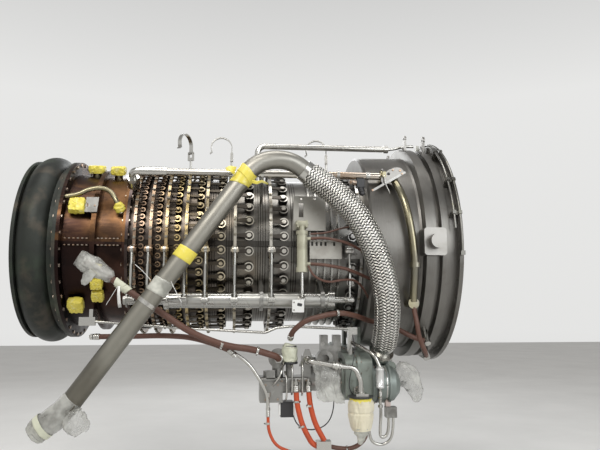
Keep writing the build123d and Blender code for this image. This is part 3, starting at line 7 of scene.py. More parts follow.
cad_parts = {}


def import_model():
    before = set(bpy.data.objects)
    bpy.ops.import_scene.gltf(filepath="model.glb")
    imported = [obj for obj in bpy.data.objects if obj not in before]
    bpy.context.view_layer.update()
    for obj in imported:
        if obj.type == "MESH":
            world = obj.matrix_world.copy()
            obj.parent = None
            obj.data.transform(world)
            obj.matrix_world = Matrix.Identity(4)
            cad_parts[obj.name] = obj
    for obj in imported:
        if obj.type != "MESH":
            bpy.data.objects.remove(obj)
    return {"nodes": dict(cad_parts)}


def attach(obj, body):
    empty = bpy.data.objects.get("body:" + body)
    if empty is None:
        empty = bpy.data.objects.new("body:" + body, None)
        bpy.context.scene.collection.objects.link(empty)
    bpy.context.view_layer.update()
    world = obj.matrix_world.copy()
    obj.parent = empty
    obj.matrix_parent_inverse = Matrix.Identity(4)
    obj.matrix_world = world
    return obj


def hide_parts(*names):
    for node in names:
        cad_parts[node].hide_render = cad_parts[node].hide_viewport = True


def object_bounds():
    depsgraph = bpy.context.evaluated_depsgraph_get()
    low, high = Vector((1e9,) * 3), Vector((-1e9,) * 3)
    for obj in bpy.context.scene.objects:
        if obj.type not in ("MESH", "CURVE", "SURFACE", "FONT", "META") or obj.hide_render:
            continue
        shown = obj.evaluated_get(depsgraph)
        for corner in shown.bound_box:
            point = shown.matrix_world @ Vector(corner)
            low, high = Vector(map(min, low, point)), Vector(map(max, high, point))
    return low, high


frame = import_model()
box_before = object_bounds()
TURN = 2 * pi
MM = 0.001
M = {}


# Procedural materials; lengths in them are metres on the part's own axes
class Shader:
    """A node tree, with short ways to add nodes to it."""

    def __init__(self, owner):
        owner.use_nodes = True
        self.tree = owner.node_tree

    def fill(self, node, inputs):
        """Links or sets a node's inputs; a plain colour gets its alpha."""
        for key, value in dict(inputs).items():
            socket = node.inputs[key]
            if isinstance(value, bpy.types.NodeSocket):
                self.tree.links.new(value, socket)
            elif socket.type == "RGBA":
                socket.default_value = (*value, 1.0)
            else:
                socket.default_value = value
        return node

    def add(self, kind, inputs=(), **options):
        node = self.tree.nodes.new("ShaderNode" + kind)
        for key, value in options.items():
            setattr(node, key, value)
        return self.fill(node, inputs)

    def paint(self, inputs):
        """Sets the look itself."""
        self.fill(self.tree.nodes["Principled BSDF"], inputs)

    def place(self):
        """The part's own coordinates."""
        return self.add("TexCoord").outputs["Object"]

    def split(self, vector):
        return self.add("SeparateXYZ", {0: vector}).outputs[:]

    def maths(self, operation, *values):
        return self.add("Math", enumerate(values), operation=operation).outputs[0]

    def clouds(self, place, scale, detail=4.0, rough=0.55):
        inputs = {"Vector": place, "Scale": scale, "Detail": detail, "Roughness": rough}
        return self.add("TexNoise", inputs).outputs["Fac"]

    def ramp(self, stops, fac, kind="LINEAR"):
        """A colour ramp with the given (position, colour) stops."""
        node = self.add("ValToRGB", {"Fac": fac})
        ramp = node.color_ramp
        ramp.interpolation = kind
        while len(ramp.elements) > 1:
            ramp.elements.remove(ramp.elements[-1])
        for i, (position, colour) in enumerate(stops):
            stop = ramp.elements[0] if i == 0 else ramp.elements.new(position)
            stop.position = position
            stop.color = (*colour, 1.0)
        return node.outputs["Color"]

    def mix(self, a, b, fac):
        return self.add("Mix", {6: a, 7: b, 0: fac}, data_type="RGBA").outputs[2]

    def spread(self, value, low, high, out_low=0.0, out_high=1.0):
        """A value mapped from one range to another, and held at its ends."""
        inputs = {"Value": value, "From Min": low, "From Max": high, "To Min": out_low, "To Max": out_high}
        return self.add("MapRange", inputs).outputs["Result"]

    def bump(self, height, strength, distance):
        inputs = {"Height": height, "Strength": strength, "Distance": distance}
        return self.add("Bump", inputs).outputs["Normal"]


def new_look(name):
    """The shader of a new material, which M holds under its short name."""
    M[name] = bpy.data.materials.new(name + "_look")
    return Shader(M[name])


WAVER = 0.16  # how far stains shift the colours along the axis
GRAIN_DEPTH = 0.0008
# Colour of the painted shade in the grooves and in the split line's gap
PAINTED_SHADE = (0.02, 0.017, 0.014)
GROOVE_PITCH = 0.0135
LANDS_FROM = -2.0
SPLIT_FLANGE = (0.0145, 0.0165)


def turned_lands(s, colour, x, z, lands):
    """Painted shade standing for turned grooves within spans along X, and painted shade in the split line's
    gap at both sides.
    """
    stops = [(0.0, (0, 0, 0))]
    for low, high in lands:
        stops += [(1 - low / LANDS_FROM, (1, 1, 1)), (1 - high / LANDS_FROM, (0, 0, 0))]
    inside = s.ramp(stops, s.spread(x, LANDS_FROM, 0.0), "CONSTANT")
    wave = s.maths("SINE", s.maths("MULTIPLY", x, TURN / GROOVE_PITCH))
    groove = s.maths("MULTIPLY", s.spread(wave, -0.1, 0.6), inside)
    # Painted shade in the grooves
    colour = s.mix(colour, PAINTED_SHADE, s.spread(groove, 0.0, 1.0, 0.0, 0.82))
    # Painted shade in the gap of the split line
    return s.mix(colour, PAINTED_SHADE, s.spread(s.maths("ABSOLUTE", z), *SPLIT_FLANGE, 0.8, 0.0))


def surface(name, base, rough, metallic=1.0, patches=(), wear=0.1, grain=220.0, bump=0.1, rough_span=0.06,
            radius=None, streak=None, sheen=0.0, stain=5.0, lands=()):
    """A material whose colour and roughness vary over the part.
    base is a colour, or (from, to, [stops]) along X. patches gives (scale, from, to, colour, amount). radius
    gives (from, to, colour below, amount): painted shade, so that what lies nearer to the rotor axis, in
    recesses and at the feet of parts on the casing, is darker. streak gives (stretch, colour, amount). lands
    gives spans along X for painted shade in grooves, and it also paints shade along the split line."""
    s = new_look(name)
    place = s.place()
    x, y, z = s.split(place)
    broad = s.clouds(place, stain)
    if isinstance(base[2], list):
        low, high, stops = base
        colour = s.ramp(stops, s.spread(s.maths("MULTIPLY_ADD", broad, WAVER, x), low, high))
    else:
        dark = tuple(c * (1 - wear) for c in base)
        light = tuple(min(1.0, c * (1 + wear)) for c in base)
        colour = s.ramp([(0.3, dark), (0.55, base), (0.75, light)], broad)
    for scale, low, high, tint, amount in patches:
        colour = s.mix(colour, tint, s.spread(s.clouds(place, scale), low, high, 0.0, amount))
    if streak:
        stretch, tint, amount = streak
        drawn = s.add("Mapping", {"Vector": place, "Scale": stretch}).outputs["Vector"]
        lines = s.clouds(drawn, 30.0, 4.0, 0.7)
        colour = s.mix(colour, tint, s.spread(lines, 0.45, 0.7, 0.0, amount))
    # Painted shade: darker nearer to the rotor axis, in recesses and at the feet of parts on the casing
    if radius:
        low, high, tint, amount = radius
        flat = s.add("CombineXYZ", {"Y": y, "Z": z}).outputs[0]
        reach = s.add("VectorMath", {0: flat}, operation="LENGTH").outputs["Value"]
        colour = s.mix(colour, tint, s.spread(reach, low, high, amount, 0.0))
    # Painted shade in grooves and along the split line
    if lands:
        colour = turned_lands(s, colour, x, z, lands)
    span = max(0.03, rough - rough_span), min(1.0, rough + rough_span)
    s.paint({"Base Color": colour, "Metallic": metallic, "Roughness": s.spread(broad, 0.35, 0.65, *span),
             "Normal": s.bump(s.clouds(place, grain, 3.0, 0.6), bump, GRAIN_DEPTH), "Sheen Weight": sheen})


def film(name, tint, clear, cloudy, rough):
    """Clear plastic: thin and see-through, and whiter along its creases as a painted highlight."""
    s = new_look(name)
    ridge = s.clouds(s.place(), 9.0, 3.0)
    # Painted highlight: the creases are whiter
    white = tuple(min(1.0, c * 1.35) for c in tint)
    s.paint({"Base Color": s.mix(tint, white, s.spread(ridge, 0.42, 0.62)), "Roughness": rough,
             "Alpha": s.spread(ridge, 0.4, 0.62, clear, cloudy), "Normal": s.bump(ridge, 0.5, 0.006)})


WIRES = 8


def braid():
    """Bright wire ribbons: fine wires from the strand's own width with painted shade between them, dull
    patches, and painted shade where a ribbon dips under the other set.
    """
    s = new_look("braid")
    over, across, _ = s.split(s.add("UVMap", uv_map="strand").outputs["UV"])
    wires = s.maths("COSINE", s.maths("MULTIPLY", across, TURN * WIRES))
    broad = s.clouds(s.place(), 9.0, 4.0, 0.6)
    colour = s.ramp([(0.35, (0.74, 0.72, 0.66)), (0.6, (0.94, 0.92, 0.87))], broad)
    # Painted shade in the lines between the wires
    colour = s.mix(colour, (0.2, 0.19, 0.17), s.spread(wires, -1.0, -0.4, 0.3, 0.0))
    # Painted shade where the ribbon dips under the other set
    colour = s.mix(colour, (0.022, 0.02, 0.017), s.spread(over, 0.52, 0.9, 0.96, 0.0))
    s.paint({"Base Color": colour, "Metallic": 1.0, "Roughness": s.spread(broad, 0.3, 0.7, 0.2, 0.34),
             "Normal": s.bump(wires, 0.35, 0.001)})


CASE_STOPS = (-1.85, -0.5, [
    (0.0, (0.06, 0.043, 0.04)), (0.18, (0.085, 0.066, 0.06)), (0.36, (0.135, 0.118, 0.105)),
    (0.55, (0.235, 0.225, 0.205)), (0.8, (0.35, 0.345, 0.325)), (1.0, (0.38, 0.378, 0.362))])
RING_STOPS = (-1.85, -0.5, [
    (0.0, (0.22, 0.145, 0.12)), (0.2, (0.34, 0.24, 0.16)), (0.3, (0.52, 0.4, 0.19)),
    (0.42, (0.48, 0.41, 0.28)), (0.55, (0.52, 0.49, 0.43)), (1.0, (0.58, 0.57, 0.55))])
HOT_STOPS = (-2.2, -1.86, [
    (0.0, (0.022, 0.014, 0.013)), (0.35, (0.032, 0.018, 0.015)), (0.6, (0.052, 0.027, 0.019)),
    (0.78, (0.105, 0.053, 0.024)), (1.0, (0.13, 0.066, 0.03))])
HOT_LOW_STOPS = (-2.2, -1.86, [
    (0.0, (0.016, 0.011, 0.011)), (0.6, (0.026, 0.015, 0.013)), (1.0, (0.062, 0.033, 0.025))])
CHROME_STOPS = (-1.8, -0.36, [
    (0.0, (0.36, 0.34, 0.31)), (0.35, (0.5, 0.48, 0.44)), (0.75, (0.55, 0.52, 0.46)),
    (0.87, (0.46, 0.35, 0.26)), (0.93, (0.5, 0.43, 0.36)), (1.0, (0.52, 0.47, 0.41))])
BRASS_STOPS = (-0.5, 0.0, [
    (0.0, (0.3, 0.27, 0.175)), (0.6, (0.27, 0.245, 0.165)), (0.78, (0.2, 0.195, 0.18)),
    (1.0, (0.2, 0.195, 0.18))])
DUCT_STOPS = (-2.14, -0.8, [
    (0.0, (0.14, 0.13, 0.105)), (0.22, (0.16, 0.15, 0.125)), (0.3, (0.27, 0.26, 0.225)),
    (0.7, (0.31, 0.295, 0.26)), (1.0, (0.32, 0.31, 0.28))])

# Metals
# The casing: painted shade in its recesses, in its grooves and along its split line
surface("case_steel", CASE_STOPS, 0.3, radius=(0.441, 0.462, (0.07, 0.06, 0.05), 0.45),
        patches=[(9, 0.52, 0.66, (0.11, 0.085, 0.065), 0.5), (3, 0.52, 0.64, (0.3, 0.22, 0.12), 0.25)],
        lands=[(-1.377, -1.344), (-1.288, -1.25), (-1.118, -1.056), (-0.925, -0.885)])
surface("side_plate", (0.4, 0.385, 0.35), 0.36, bump=0.06, patches=[(9, 0.52, 0.68, (0.24, 0.22, 0.19), 0.5)])
# Ring, boss and lever: painted shade at their feet, towards the casing
surface("ring", RING_STOPS, 0.3, radius=(0.484, 0.5, (0.1, 0.08, 0.065), 0.8),
        patches=[(11, 0.55, 0.68, (0.26, 0.19, 0.1), 0.5), (26, 0.56, 0.66, (0.06, 0.05, 0.04), 0.6)])
surface("boss", RING_STOPS, 0.32, radius=(0.4708, 0.4722, (0.02, 0.017, 0.015), 0.93),
        patches=[(20, 0.55, 0.68, (0.16, 0.12, 0.09), 0.4)])
surface("lever", RING_STOPS, 0.36, radius=(0.4816, 0.4824, (0.04, 0.033, 0.028), 0.93),
        patches=[(24, 0.55, 0.68, (0.14, 0.115, 0.09), 0.4)])
surface("nut", (0.26, 0.24, 0.2), 0.34, patches=[(30, 0.5, 0.62, (0.42, 0.38, 0.3), 0.6)])
surface("hot_steel", HOT_STOPS, 0.36, stain=7.0, rough_span=0.1,
        patches=[(5, 0.48, 0.62, (0.02, 0.014, 0.013), 0.75), (8, 0.56, 0.68, (0.19, 0.098, 0.042), 0.45)],
        streak=((0.35, 3.0, 3.0), (0.17, 0.09, 0.048), 0.25))
surface("hot_steel_low", HOT_LOW_STOPS, 0.38, stain=7.0, rough_span=0.1,
        patches=[(6, 0.5, 0.64, (0.012, 0.01, 0.01), 0.7)])
surface("dark_steel", (0.028, 0.031, 0.027), 0.5, metallic=0.6, wear=0.3, rough_span=0.12,
        patches=[(7, 0.52, 0.66, (0.1, 0.082, 0.062), 0.5), (3, 0.5, 0.62, (0.055, 0.075, 0.05), 0.5)])
surface("bolt", (0.36, 0.3, 0.25), 0.32, patches=[(60, 0.5, 0.6, (0.46, 0.27, 0.16), 0.6)])
surface("front_frame", (0.165, 0.158, 0.146), 0.38, metallic=0.85, bump=0.05,
        patches=[(4, 0.54, 0.7, (0.11, 0.1, 0.088), 0.6), (14, 0.6, 0.72, (0.085, 0.07, 0.056), 0.35)],
        streak=((6.0, 0.5, 0.5), (0.225, 0.217, 0.2), 0.3))
surface("frame_fitting", (0.26, 0.25, 0.235), 0.38, bump=0.06,
        patches=[(12, 0.55, 0.7, (0.2, 0.19, 0.17), 0.5)])
surface("bright_steel", (0.52, 0.51, 0.48), 0.22, bump=0.03,
        patches=[(15, 0.58, 0.72, (0.26, 0.235, 0.2), 0.45)])
surface("shaft", (0.47, 0.465, 0.44), 0.28, bump=0.03, wear=0.06,
        patches=[(5, 0.56, 0.72, (0.3, 0.285, 0.25), 0.5)])
surface("chrome_tube", CHROME_STOPS, 0.14, bump=0.02)
surface("brass_tube", BRASS_STOPS, 0.32, bump=0.04,
        patches=[(9, 0.5, 0.66, (0.19, 0.185, 0.14), 0.5), (25, 0.6, 0.72, (0.42, 0.37, 0.23), 0.35)])
surface("gear_casting", (0.26, 0.29, 0.26), 0.5, metallic=0.4, grain=260.0, bump=0.4,
        patches=[(7, 0.52, 0.68, (0.16, 0.17, 0.15), 0.6), (24, 0.6, 0.7, (0.1, 0.09, 0.08), 0.5)])
surface("starter", (0.22, 0.25, 0.235), 0.42, metallic=0.5, grain=260.0, bump=0.25,
        patches=[(8, 0.55, 0.7, (0.12, 0.125, 0.11), 0.6)])
surface("alloy", (0.31, 0.305, 0.29), 0.34, metallic=0.9, bump=0.2,
        patches=[(9, 0.5, 0.64, (0.13, 0.124, 0.112), 0.7), (30, 0.58, 0.68, (0.5, 0.49, 0.46), 0.5)])
surface("duct", DUCT_STOPS, 0.44, bump=0.04,
        patches=[(5, 0.52, 0.7, (0.22, 0.21, 0.18), 0.45)])
surface("blade", (0.36, 0.34, 0.3), 0.34, bump=0.04)
braid()

# Paint, rubber, tape, film and cloth
surface("olive_paint", (0.44, 0.43, 0.33), 0.4, metallic=0.2,
        patches=[(16, 0.52, 0.66, (0.27, 0.255, 0.19), 0.6)])
surface("brown_hose", (0.105, 0.045, 0.03), 0.5, metallic=0.0, grain=420.0, bump=0.5,
        patches=[(12, 0.5, 0.7, (0.15, 0.08, 0.058), 0.5)])
surface("orange_hose", (0.5, 0.068, 0.016), 0.45, metallic=0.0, grain=420.0, bump=0.5,
        patches=[(9, 0.55, 0.7, (0.3, 0.055, 0.02), 0.6)])
surface("hose_core", (0.03, 0.028, 0.026), 0.7, metallic=0.3, bump=0.05)
surface("yellow_tape", (0.8, 0.68, 0.1), 0.42, metallic=0.0, grain=90.0, bump=0.15, wear=0.08,
        patches=[(30, 0.52, 0.66, (0.9, 0.84, 0.42), 0.6)])
surface("pale_tape", (0.62, 0.63, 0.5), 0.4, metallic=0.0, grain=90.0, bump=0.2)
film("clear_film", (0.43, 0.43, 0.405), 0.25, 0.72, rough=0.1)
film("cloudy_film", (0.5, 0.5, 0.45), 0.5, 0.92, rough=0.22)
surface("wrap_cloth", (0.7, 0.65, 0.5), 0.85, metallic=0.0, grain=420.0, bump=0.5, sheen=0.3,
        patches=[(14, 0.5, 0.7, (0.52, 0.46, 0.32), 0.6)])
surface("black_cap", (0.03, 0.03, 0.032), 0.4, metallic=0.0, grain=120.0, bump=0.08)
surface("white_card", (0.78, 0.78, 0.76), 0.5, metallic=0.0, grain=50.0, bump=0.03, wear=0.04)
surface("silver_paint", (0.66, 0.66, 0.65), 0.3, metallic=0.5, bump=0.05, wear=0.04)
surface("sealing_tape", (0.62, 0.5, 0.46), 0.6, metallic=0.0, bump=0.3)
surface("black_cable", (0.035, 0.034, 0.036), 0.5, metallic=0.0, grain=260.0)

LOOK = {
    "case_steel": ["case_upper", "case_lower"], "side_plate": ["side_plates"], "boss": ["spindle_bosses"],
    "ring": [f"ring_{k}" for k in range(8)], "lever": [f"levers_{k}" for k in range(8)],
    "hot_steel": ["rear_case_upper"], "hot_steel_low": ["rear_case_lower"],
    "dark_steel": ["rear_frame", "turbine_rotor"], "bolt": ["case_bolts"], "front_frame": ["front_frame"],
    "frame_fitting": ["frame_fittings"],
    "bright_steel": ["clamp_posts", "clamp_band_0", "clamp_band_1", "clamp_band_2", "pipe_fittings",
                     "upper_tube", "braided_hose", "hose_fittings", "crossover_pipe", "control_rod",
                     "actuator_rod_near", "actuator_rod_far"],
    "shaft": ["torque_shaft_near", "torque_shaft_far", "links_near", "links_far"],
    "chrome_tube": ["top_pipe"], "brass_tube": ["frame_pipes", "rear_pipes"],
    "gear_casting": ["gearbox", "gearbox_hangers"], "starter": ["starter"],
    "alloy": ["nose_cone", "shaft_brackets", "accessories"], "duct": ["delivery_pipe"],
    "olive_paint": ["actuators"], "brown_hose": ["oil_hoses"], "orange_hose": ["drain_hoses"],
    "blade": ["stator_vanes", "canister", "rotor_drum", "rotor_blades"],
}
for look, names in LOOK.items():
    for name in names:
        frame["nodes"][name].data.materials.clear()
        frame["nodes"][name].data.materials.append(M[look])


# Pieces made in mesh code, in millimetres; each rides on the body that carries it
class Shell:
    """The vertices and faces of a piece."""

    def __init__(self):
        self.verts, self.faces = [], []

    def grid(self, rows, closed=True, looped=False, low=False, high=False):
        """Adds a grid of points: closed across, looped along, and with its two ends filled if asked."""
        base, n, m = len(self.verts), len(rows), len(rows[0])
        self.verts += [v for row in rows for v in row]
        for i in range(n if looped else n - 1):
            for k in range(m if closed else m - 1):
                p, q = base + i * m, base + (i + 1) % n * m
                self.faces.append((p + k, p + (k + 1) % m, q + (k + 1) % m, q + k))
        if low:
            self.faces.append(tuple(range(base, base + m))[::-1])
        if high:
            self.faces.append(tuple(range(base + (n - 1) * m, base + n * m)))
        return self

    def fan(self, centre, m, start, flip):
        """Fills a ring of m points from a centre point."""
        for q in range(m):
            p, r = start + q, start + (q + 1) % m
            self.faces.append((centre, p, r) if flip else (centre, r, p))


def add_piece(name, shell, material, body="engine", smooth=True):
    me = bpy.data.meshes.new(name)
    me.from_pydata([Vector(v) * MM for v in shell.verts], [], shell.faces)
    me.update()
    obj = bpy.data.objects.new(name, me)
    bpy.context.scene.collection.objects.link(obj)
    me.polygons.foreach_set("use_smooth", [smooth] * len(me.polygons))
    me.materials.append(M[material])
    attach(obj, body)
    return obj


def thicken(obj, thickness):
    """Gives a sheet its thickness, applied to the mesh."""
    mod = obj.modifiers.new("thickness", "SOLIDIFY")
    mod.thickness = thickness * MM
    mod.offset = -1.0
    flat = obj.data
    me = bpy.data.meshes.new_from_object(obj.evaluated_get(bpy.context.evaluated_depsgraph_get()))
    obj.modifiers.clear()
    obj.data = me
    bpy.data.meshes.remove(flat)
    return obj


def axes(direction, hint=(0, 0, 1)):
    """A unit vector and two more square to it."""
    d, h = Vector(direction).normalized(), Vector(hint)
    if abs(d.dot(h)) > 0.95:
        h = Vector((0, 1, 0))
    a = d.cross(h).normalized()
    return d, a, d.cross(a).normalized()


def angles(count):
    return [TURN * k / count for k in range(count)]


def circle(centre, a, b, r, sides):
    return [centre + (a * cos(w) + b * sin(w)) * r for w in angles(sides)]


def radial(x, r, angle):
    """A point at a station and radius; the angle is from the top towards the near side."""
    w = radians(angle)
    return Vector((x, -r * sin(w), r * cos(w)))


def ridged(at):
    """Noise folded into sharp ridges, from -1 to 1."""
    return 1 - 2 * abs(noise.noise(at))


def curve_points(points, resolution):
    """Points read along the smooth spline through a route."""
    cu = bpy.data.curves.new("route", "CURVE")
    cu.dimensions = "3D"
    cu.resolution_u = resolution
    sp = cu.splines.new("NURBS")
    sp.points.add(len(points) - 1)
    for p, q in zip(sp.points, points):
        p.co = (*q, 1.0)
    sp.order_u = 3
    sp.use_endpoint_u = True
    ob = bpy.data.objects.new("route", cu)
    me = bpy.data.meshes.new_from_object(ob)
    out = [v.co.copy() for v in me.vertices]
    bpy.data.objects.remove(ob)
    bpy.data.meshes.remove(me)
    bpy.data.curves.remove(cu)
    return out


def frames_along(pts):
    """Two side vectors at each point of a line, turning as little as possible."""
    out = []
    last = len(pts) - 1
    tangents = [(pts[min(last, i + 1)] - pts[max(0, i - 1)]).normalized() for i in range(last + 1)]
    side = axes(tangents[0])[1]
    for t in tangents:
        side = (side - t * side.dot(t)).normalized()
        out.append((side, t.cross(side)))
    return out


def spaced(pts, step):
    """The same line as points at an even spacing."""
    total = sum((b - a).length for a, b in zip(pts, pts[1:]))
    n = max(2, round(total / step))
    gap = total / n
    out = [pts[0].copy()]
    need = gap
    run = 0.0
    for a, b in zip(pts, pts[1:]):
        length = (b - a).length
        while need <= run + length + 1e-6 and len(out) <= n:
            out.append(a.lerp(b, (need - run) / length))
            need += gap
        run += length
    return out


def tube(pts, radius, sides):
    rows = [circle(p, a, b, radius, sides) for p, (a, b) in zip(pts, frames_along(pts))]
    return Shell().grid(rows, low=True, high=True)


def wire(name, radius, route, material="bright_steel", sides=8):
    """A thin line along the smooth spline of a route."""
    return add_piece(name, tube(curve_points(route, 10), radius, sides), material)


def lathe(name, centre, axis, profile, material="bright_steel", sides=28):
    """A turned piece from (along, radius) pairs about an axis."""
    d, a, b = axes(axis)
    rows = [circle(Vector(centre) + d * s, a, b, r, sides) for s, r in profile]
    return add_piece(name, Shell().grid(rows, low=profile[0][1] > 0, high=profile[-1][1] > 0), material)


# Number of sides, and levels as (share of the height, share of the width)
NUT = (6, ((0, 1.0), (0.88, 1.0), (1, 0.84)))
STUD = (8, ((1, 0.42), (1.35, 0.42)))


def nuts(name, places, across, height, material="bolt", body="engine"):
    """Hexagon nuts at (centre, axis) places, each with a chamfered top and a stud end."""
    shell = Shell()
    for centre, axis in places:
        d, a, b = axes(axis)
        for sides, levels in (NUT, STUD):
            rows = [circle(Vector(centre) + d * height * s, a, b, across / 2 * k, sides) for s, k in levels]
            shell.grid(rows, high=True)
    return add_piece(name, shell, material, body, smooth=False)


def facing(axis, *centres):
    """Places of nuts that face the same way."""
    return [(c, axis) for c in centres]


def tape_band(name, centre, direction, r, width, material, slant=0.0, wraps=1.12, start=0.0, seed=0,
              layers=0.9):
    """Tape wound round a pipe, a little askew, its end lying over its start."""
    d, a, b = axes(direction)
    n, m = 72, 8
    rows = []
    for i in range(n + 1):
        w = start + TURN * wraps * i / n
        row = []
        for j in range(m + 1):
            edge = 1.6 * noise.noise(Vector((w * 2.1, j / m * 3.0, seed)))
            s = (j / m - 0.5) * width + slant * sin(w) + edge
            pucker = 1.1 * abs(noise.noise(Vector((w * 5.0, s * 0.09, seed + 4.0))))
            rr = r + 0.6 + layers * i / n + pucker
            row.append(Vector(centre) + d * s + (a * cos(w) + b * sin(w)) * rr)
        rows.append(row)
    return thicken(add_piece(name, Shell().grid(rows, closed=False), material), -0.3)


def ribbon(name, pts, side, widths, material, curl):
    """A strip along points, as wide as the widths say, turned by curl from start to end."""
    pts = [Vector(p) for p in pts]
    last = len(pts) - 1
    rows = []
    for i, p in enumerate(pts):
        t = i / last
        tangent = (pts[min(i + 1, last)] - pts[max(i - 1, 0)]).normalized()
        unit = Vector(side).normalized()
        u = (unit - tangent * unit.dot(tangent)).normalized()
        v = tangent.cross(u)
        s = u * cos(curl * t) + v * sin(curl * t)
        width = widths[0] + (widths[1] - widths[0]) * t
        rows.append([p + s * width * k / 4 + v * 1.5 * sin(k * 2.1 + i) for k in range(-2, 3)])
    return thicken(add_piece(name, Shell().grid(rows, closed=False), material), 0.4)


def bag(name, stations, material="clear_film", wobble=0.16, seed=0, rings=40, sides=64):
    """A limp lofted shell through (x, y, z, half width, half depth) stations, with creases."""
    centres = [Vector(s[:3]) for s in stations]
    last = len(stations) - 1
    rows = []
    for i in range(rings + 1):
        t = i / rings * last
        k = min(int(t), last - 1)
        f = t - k
        p0, p1, p2, p3 = centres[max(k - 1, 0)], centres[k], centres[k + 1], centres[min(k + 2, last)]
        p = 0.5 * ((2 * p1) + (p2 - p0) * f + (2 * p0 - 5 * p1 + 4 * p2 - p3) * f * f
                   + (3 * p1 - p0 - 3 * p2 + p3) * f ** 3)
        ease = f * f * (3 - 2 * f)
        rx, ry = (stations[k][j] * (1 - ease) + stations[k + 1][j] * ease for j in (3, 4))
        _, a, b = axes(p2 - p1, (0, 1, 0))
        row = []
        for w in angles(sides):
            at = Vector((cos(w) * 1.7, sin(w) * 1.7, t * 1.3 + seed))
            crease = ridged(at * 2.6 + Vector((seed, 3.1, 0)))
            small = ridged(at * 4.0 + Vector((0, seed, 1.7)))
            g = 1 + wobble * (noise.noise(at) + 0.45 * crease + 0.1 * small - 0.3)
            row.append(p + a * cos(w) * rx * g + b * sin(w) * ry * g)
        rows.append(row)
    shell = Shell().grid(rows)
    first = len(shell.verts)
    shell.verts += [sum(rows[0], Vector()) / sides, sum(rows[-1], Vector()) / sides]
    shell.fan(first, sides, 0, False)
    shell.fan(first + 1, sides, rings * sides, True)
    return add_piece(name, shell, material)


def plate(name, centre, u, v, half_u, half_v, thick, material, body="engine", corner=4):
    """A flat plate with rounded corners and edges."""
    c, u, v = Vector(centre), Vector(u).normalized(), Vector(v).normalized()
    n = u.cross(v).normalized()
    ring = []
    for cx, cy, start in ((1, 1, 0), (-1, 1, 90), (-1, -1, 180), (1, -1, 270)):
        for k in range(5):
            w = radians(start + k * 22.5)
            ring.append((cx * (half_u - corner) + corner * cos(w), cy * (half_v - corner) + corner * sin(w)))
    levels = ((-thick / 2, 1.0), (thick * 0.3, 1.0), (thick / 2, 0.985))
    rows = [[c + u * p * k + v * q * k + n * h for p, q in ring] for h, k in levels]
    return add_piece(name, Shell().grid(rows, low=True, high=True), material, body, smooth=False)


def rounded_box(name, centre, half, material, edge=4):
    """A block with bevelled edges."""
    bm = bmesh.new()
    bmesh.ops.create_cube(bm, size=2.0)
    for v in bm.verts:
        v.co = Vector(p * q for p, q in zip(v.co, half)) + Vector(centre)
    bmesh.ops.bevel(bm, geom=bm.edges[:], offset=edge, segments=3, profile=0.7, affect="EDGES")
    bm.verts.index_update()
    shell = Shell()
    shell.verts = [v.co.copy() for v in bm.verts]
    shell.faces = [[v.index for v in f.verts] for f in bm.faces]
    bm.free()
    return add_piece(name, shell, material, smooth=False)


def hose_band(name, centre, direction, r, width, box):
    """A worm drive clamp: a beaded band with its screw housing and screw."""
    d, a, b = axes(direction)
    c = Vector(centre)
    half = [(0.5, 0.2), (0.5, 1.6), (0.38, 2.2), (0.3, 1.4)]
    profile = [(-width * s, r + h) for s, h in half] + [(width * s, r + h) for s, h in half[::-1]]
    shell = Shell().grid([circle(c + d * s, a, b, rr, 40) for s, rr in profile], looped=True)
    w = box * pi
    up = a * cos(w) + b * sin(w)
    along = b * cos(w) - a * sin(w)
    base = len(shell.verts)
    for u, h in ((-11, 1.4), (-9, 6), (7, 6), (10, 1.4)):
        for s in (-width * 0.42, width * 0.42):
            shell.verts.append(c + along * u + up * (r + 0.6) + d * s)
            shell.verts.append(c + along * u + up * (r + 1 + h) + d * s)
    for p in range(base, base + 12, 4):
        shell.faces += [(p, p + 1, p + 5, p + 4), (p + 3, p + 2, p + 6, p + 7), (p + 1, p + 3, p + 7, p + 5)]
    shell.faces += [(base, base + 2, base + 3, base + 1), (base + 12, base + 13, base + 15, base + 14)]
    add_piece(name, shell, "bright_steel", smooth=False)
    nuts(name + "_screw", [(c + along * 7 + up * (r + 4.5), along)], 8.5, 7.5, "bright_steel")


# Profile of a crimped sleeve as (along, share of the hose's radius)
SLEEVE = [(-4, 0.95), (-4, 1.16), (2, 1.22), (6, 1.22), (7, 1.14), (10, 1.14), (11, 1.22), (15, 1.22),
          (16, 1.14), (19, 1.14), (20, 1.2), (26, 1.12), (28, 0.78), (30, 0.78)]


def hose_end(name, centre, direction, r, length=50, material="bright_steel"):
    """A crimped sleeve with grooves, a collar and a hexagon nut at a hose's end."""
    k = length / 50
    lathe(name, centre, direction, [(s * k, share * r) for s, share in SLEEVE], material)
    d = Vector(direction).normalized()
    nuts(name + "_nut", [(Vector(centre) + d * 29 * k, d)], r * 2.5, 14 * k, material)


def collar(name, centre, profile, material, sides=48):
    """An upright turned ring."""
    lathe(name, centre, (0, 0, 1), profile, material, sides)


# Braided hose: two sets of ribbons woven over and under each other round a dark core
HOSE_ROUTE = [(-835, -655, 356), (-640, -690, 218), (-500, -712, -20), (-432, -690, -270), (-412, -610, -440),
              (-412, -520, -545)]
HOSE_R = 69
CARRIERS = 20
BRAID_ANGLE = 53


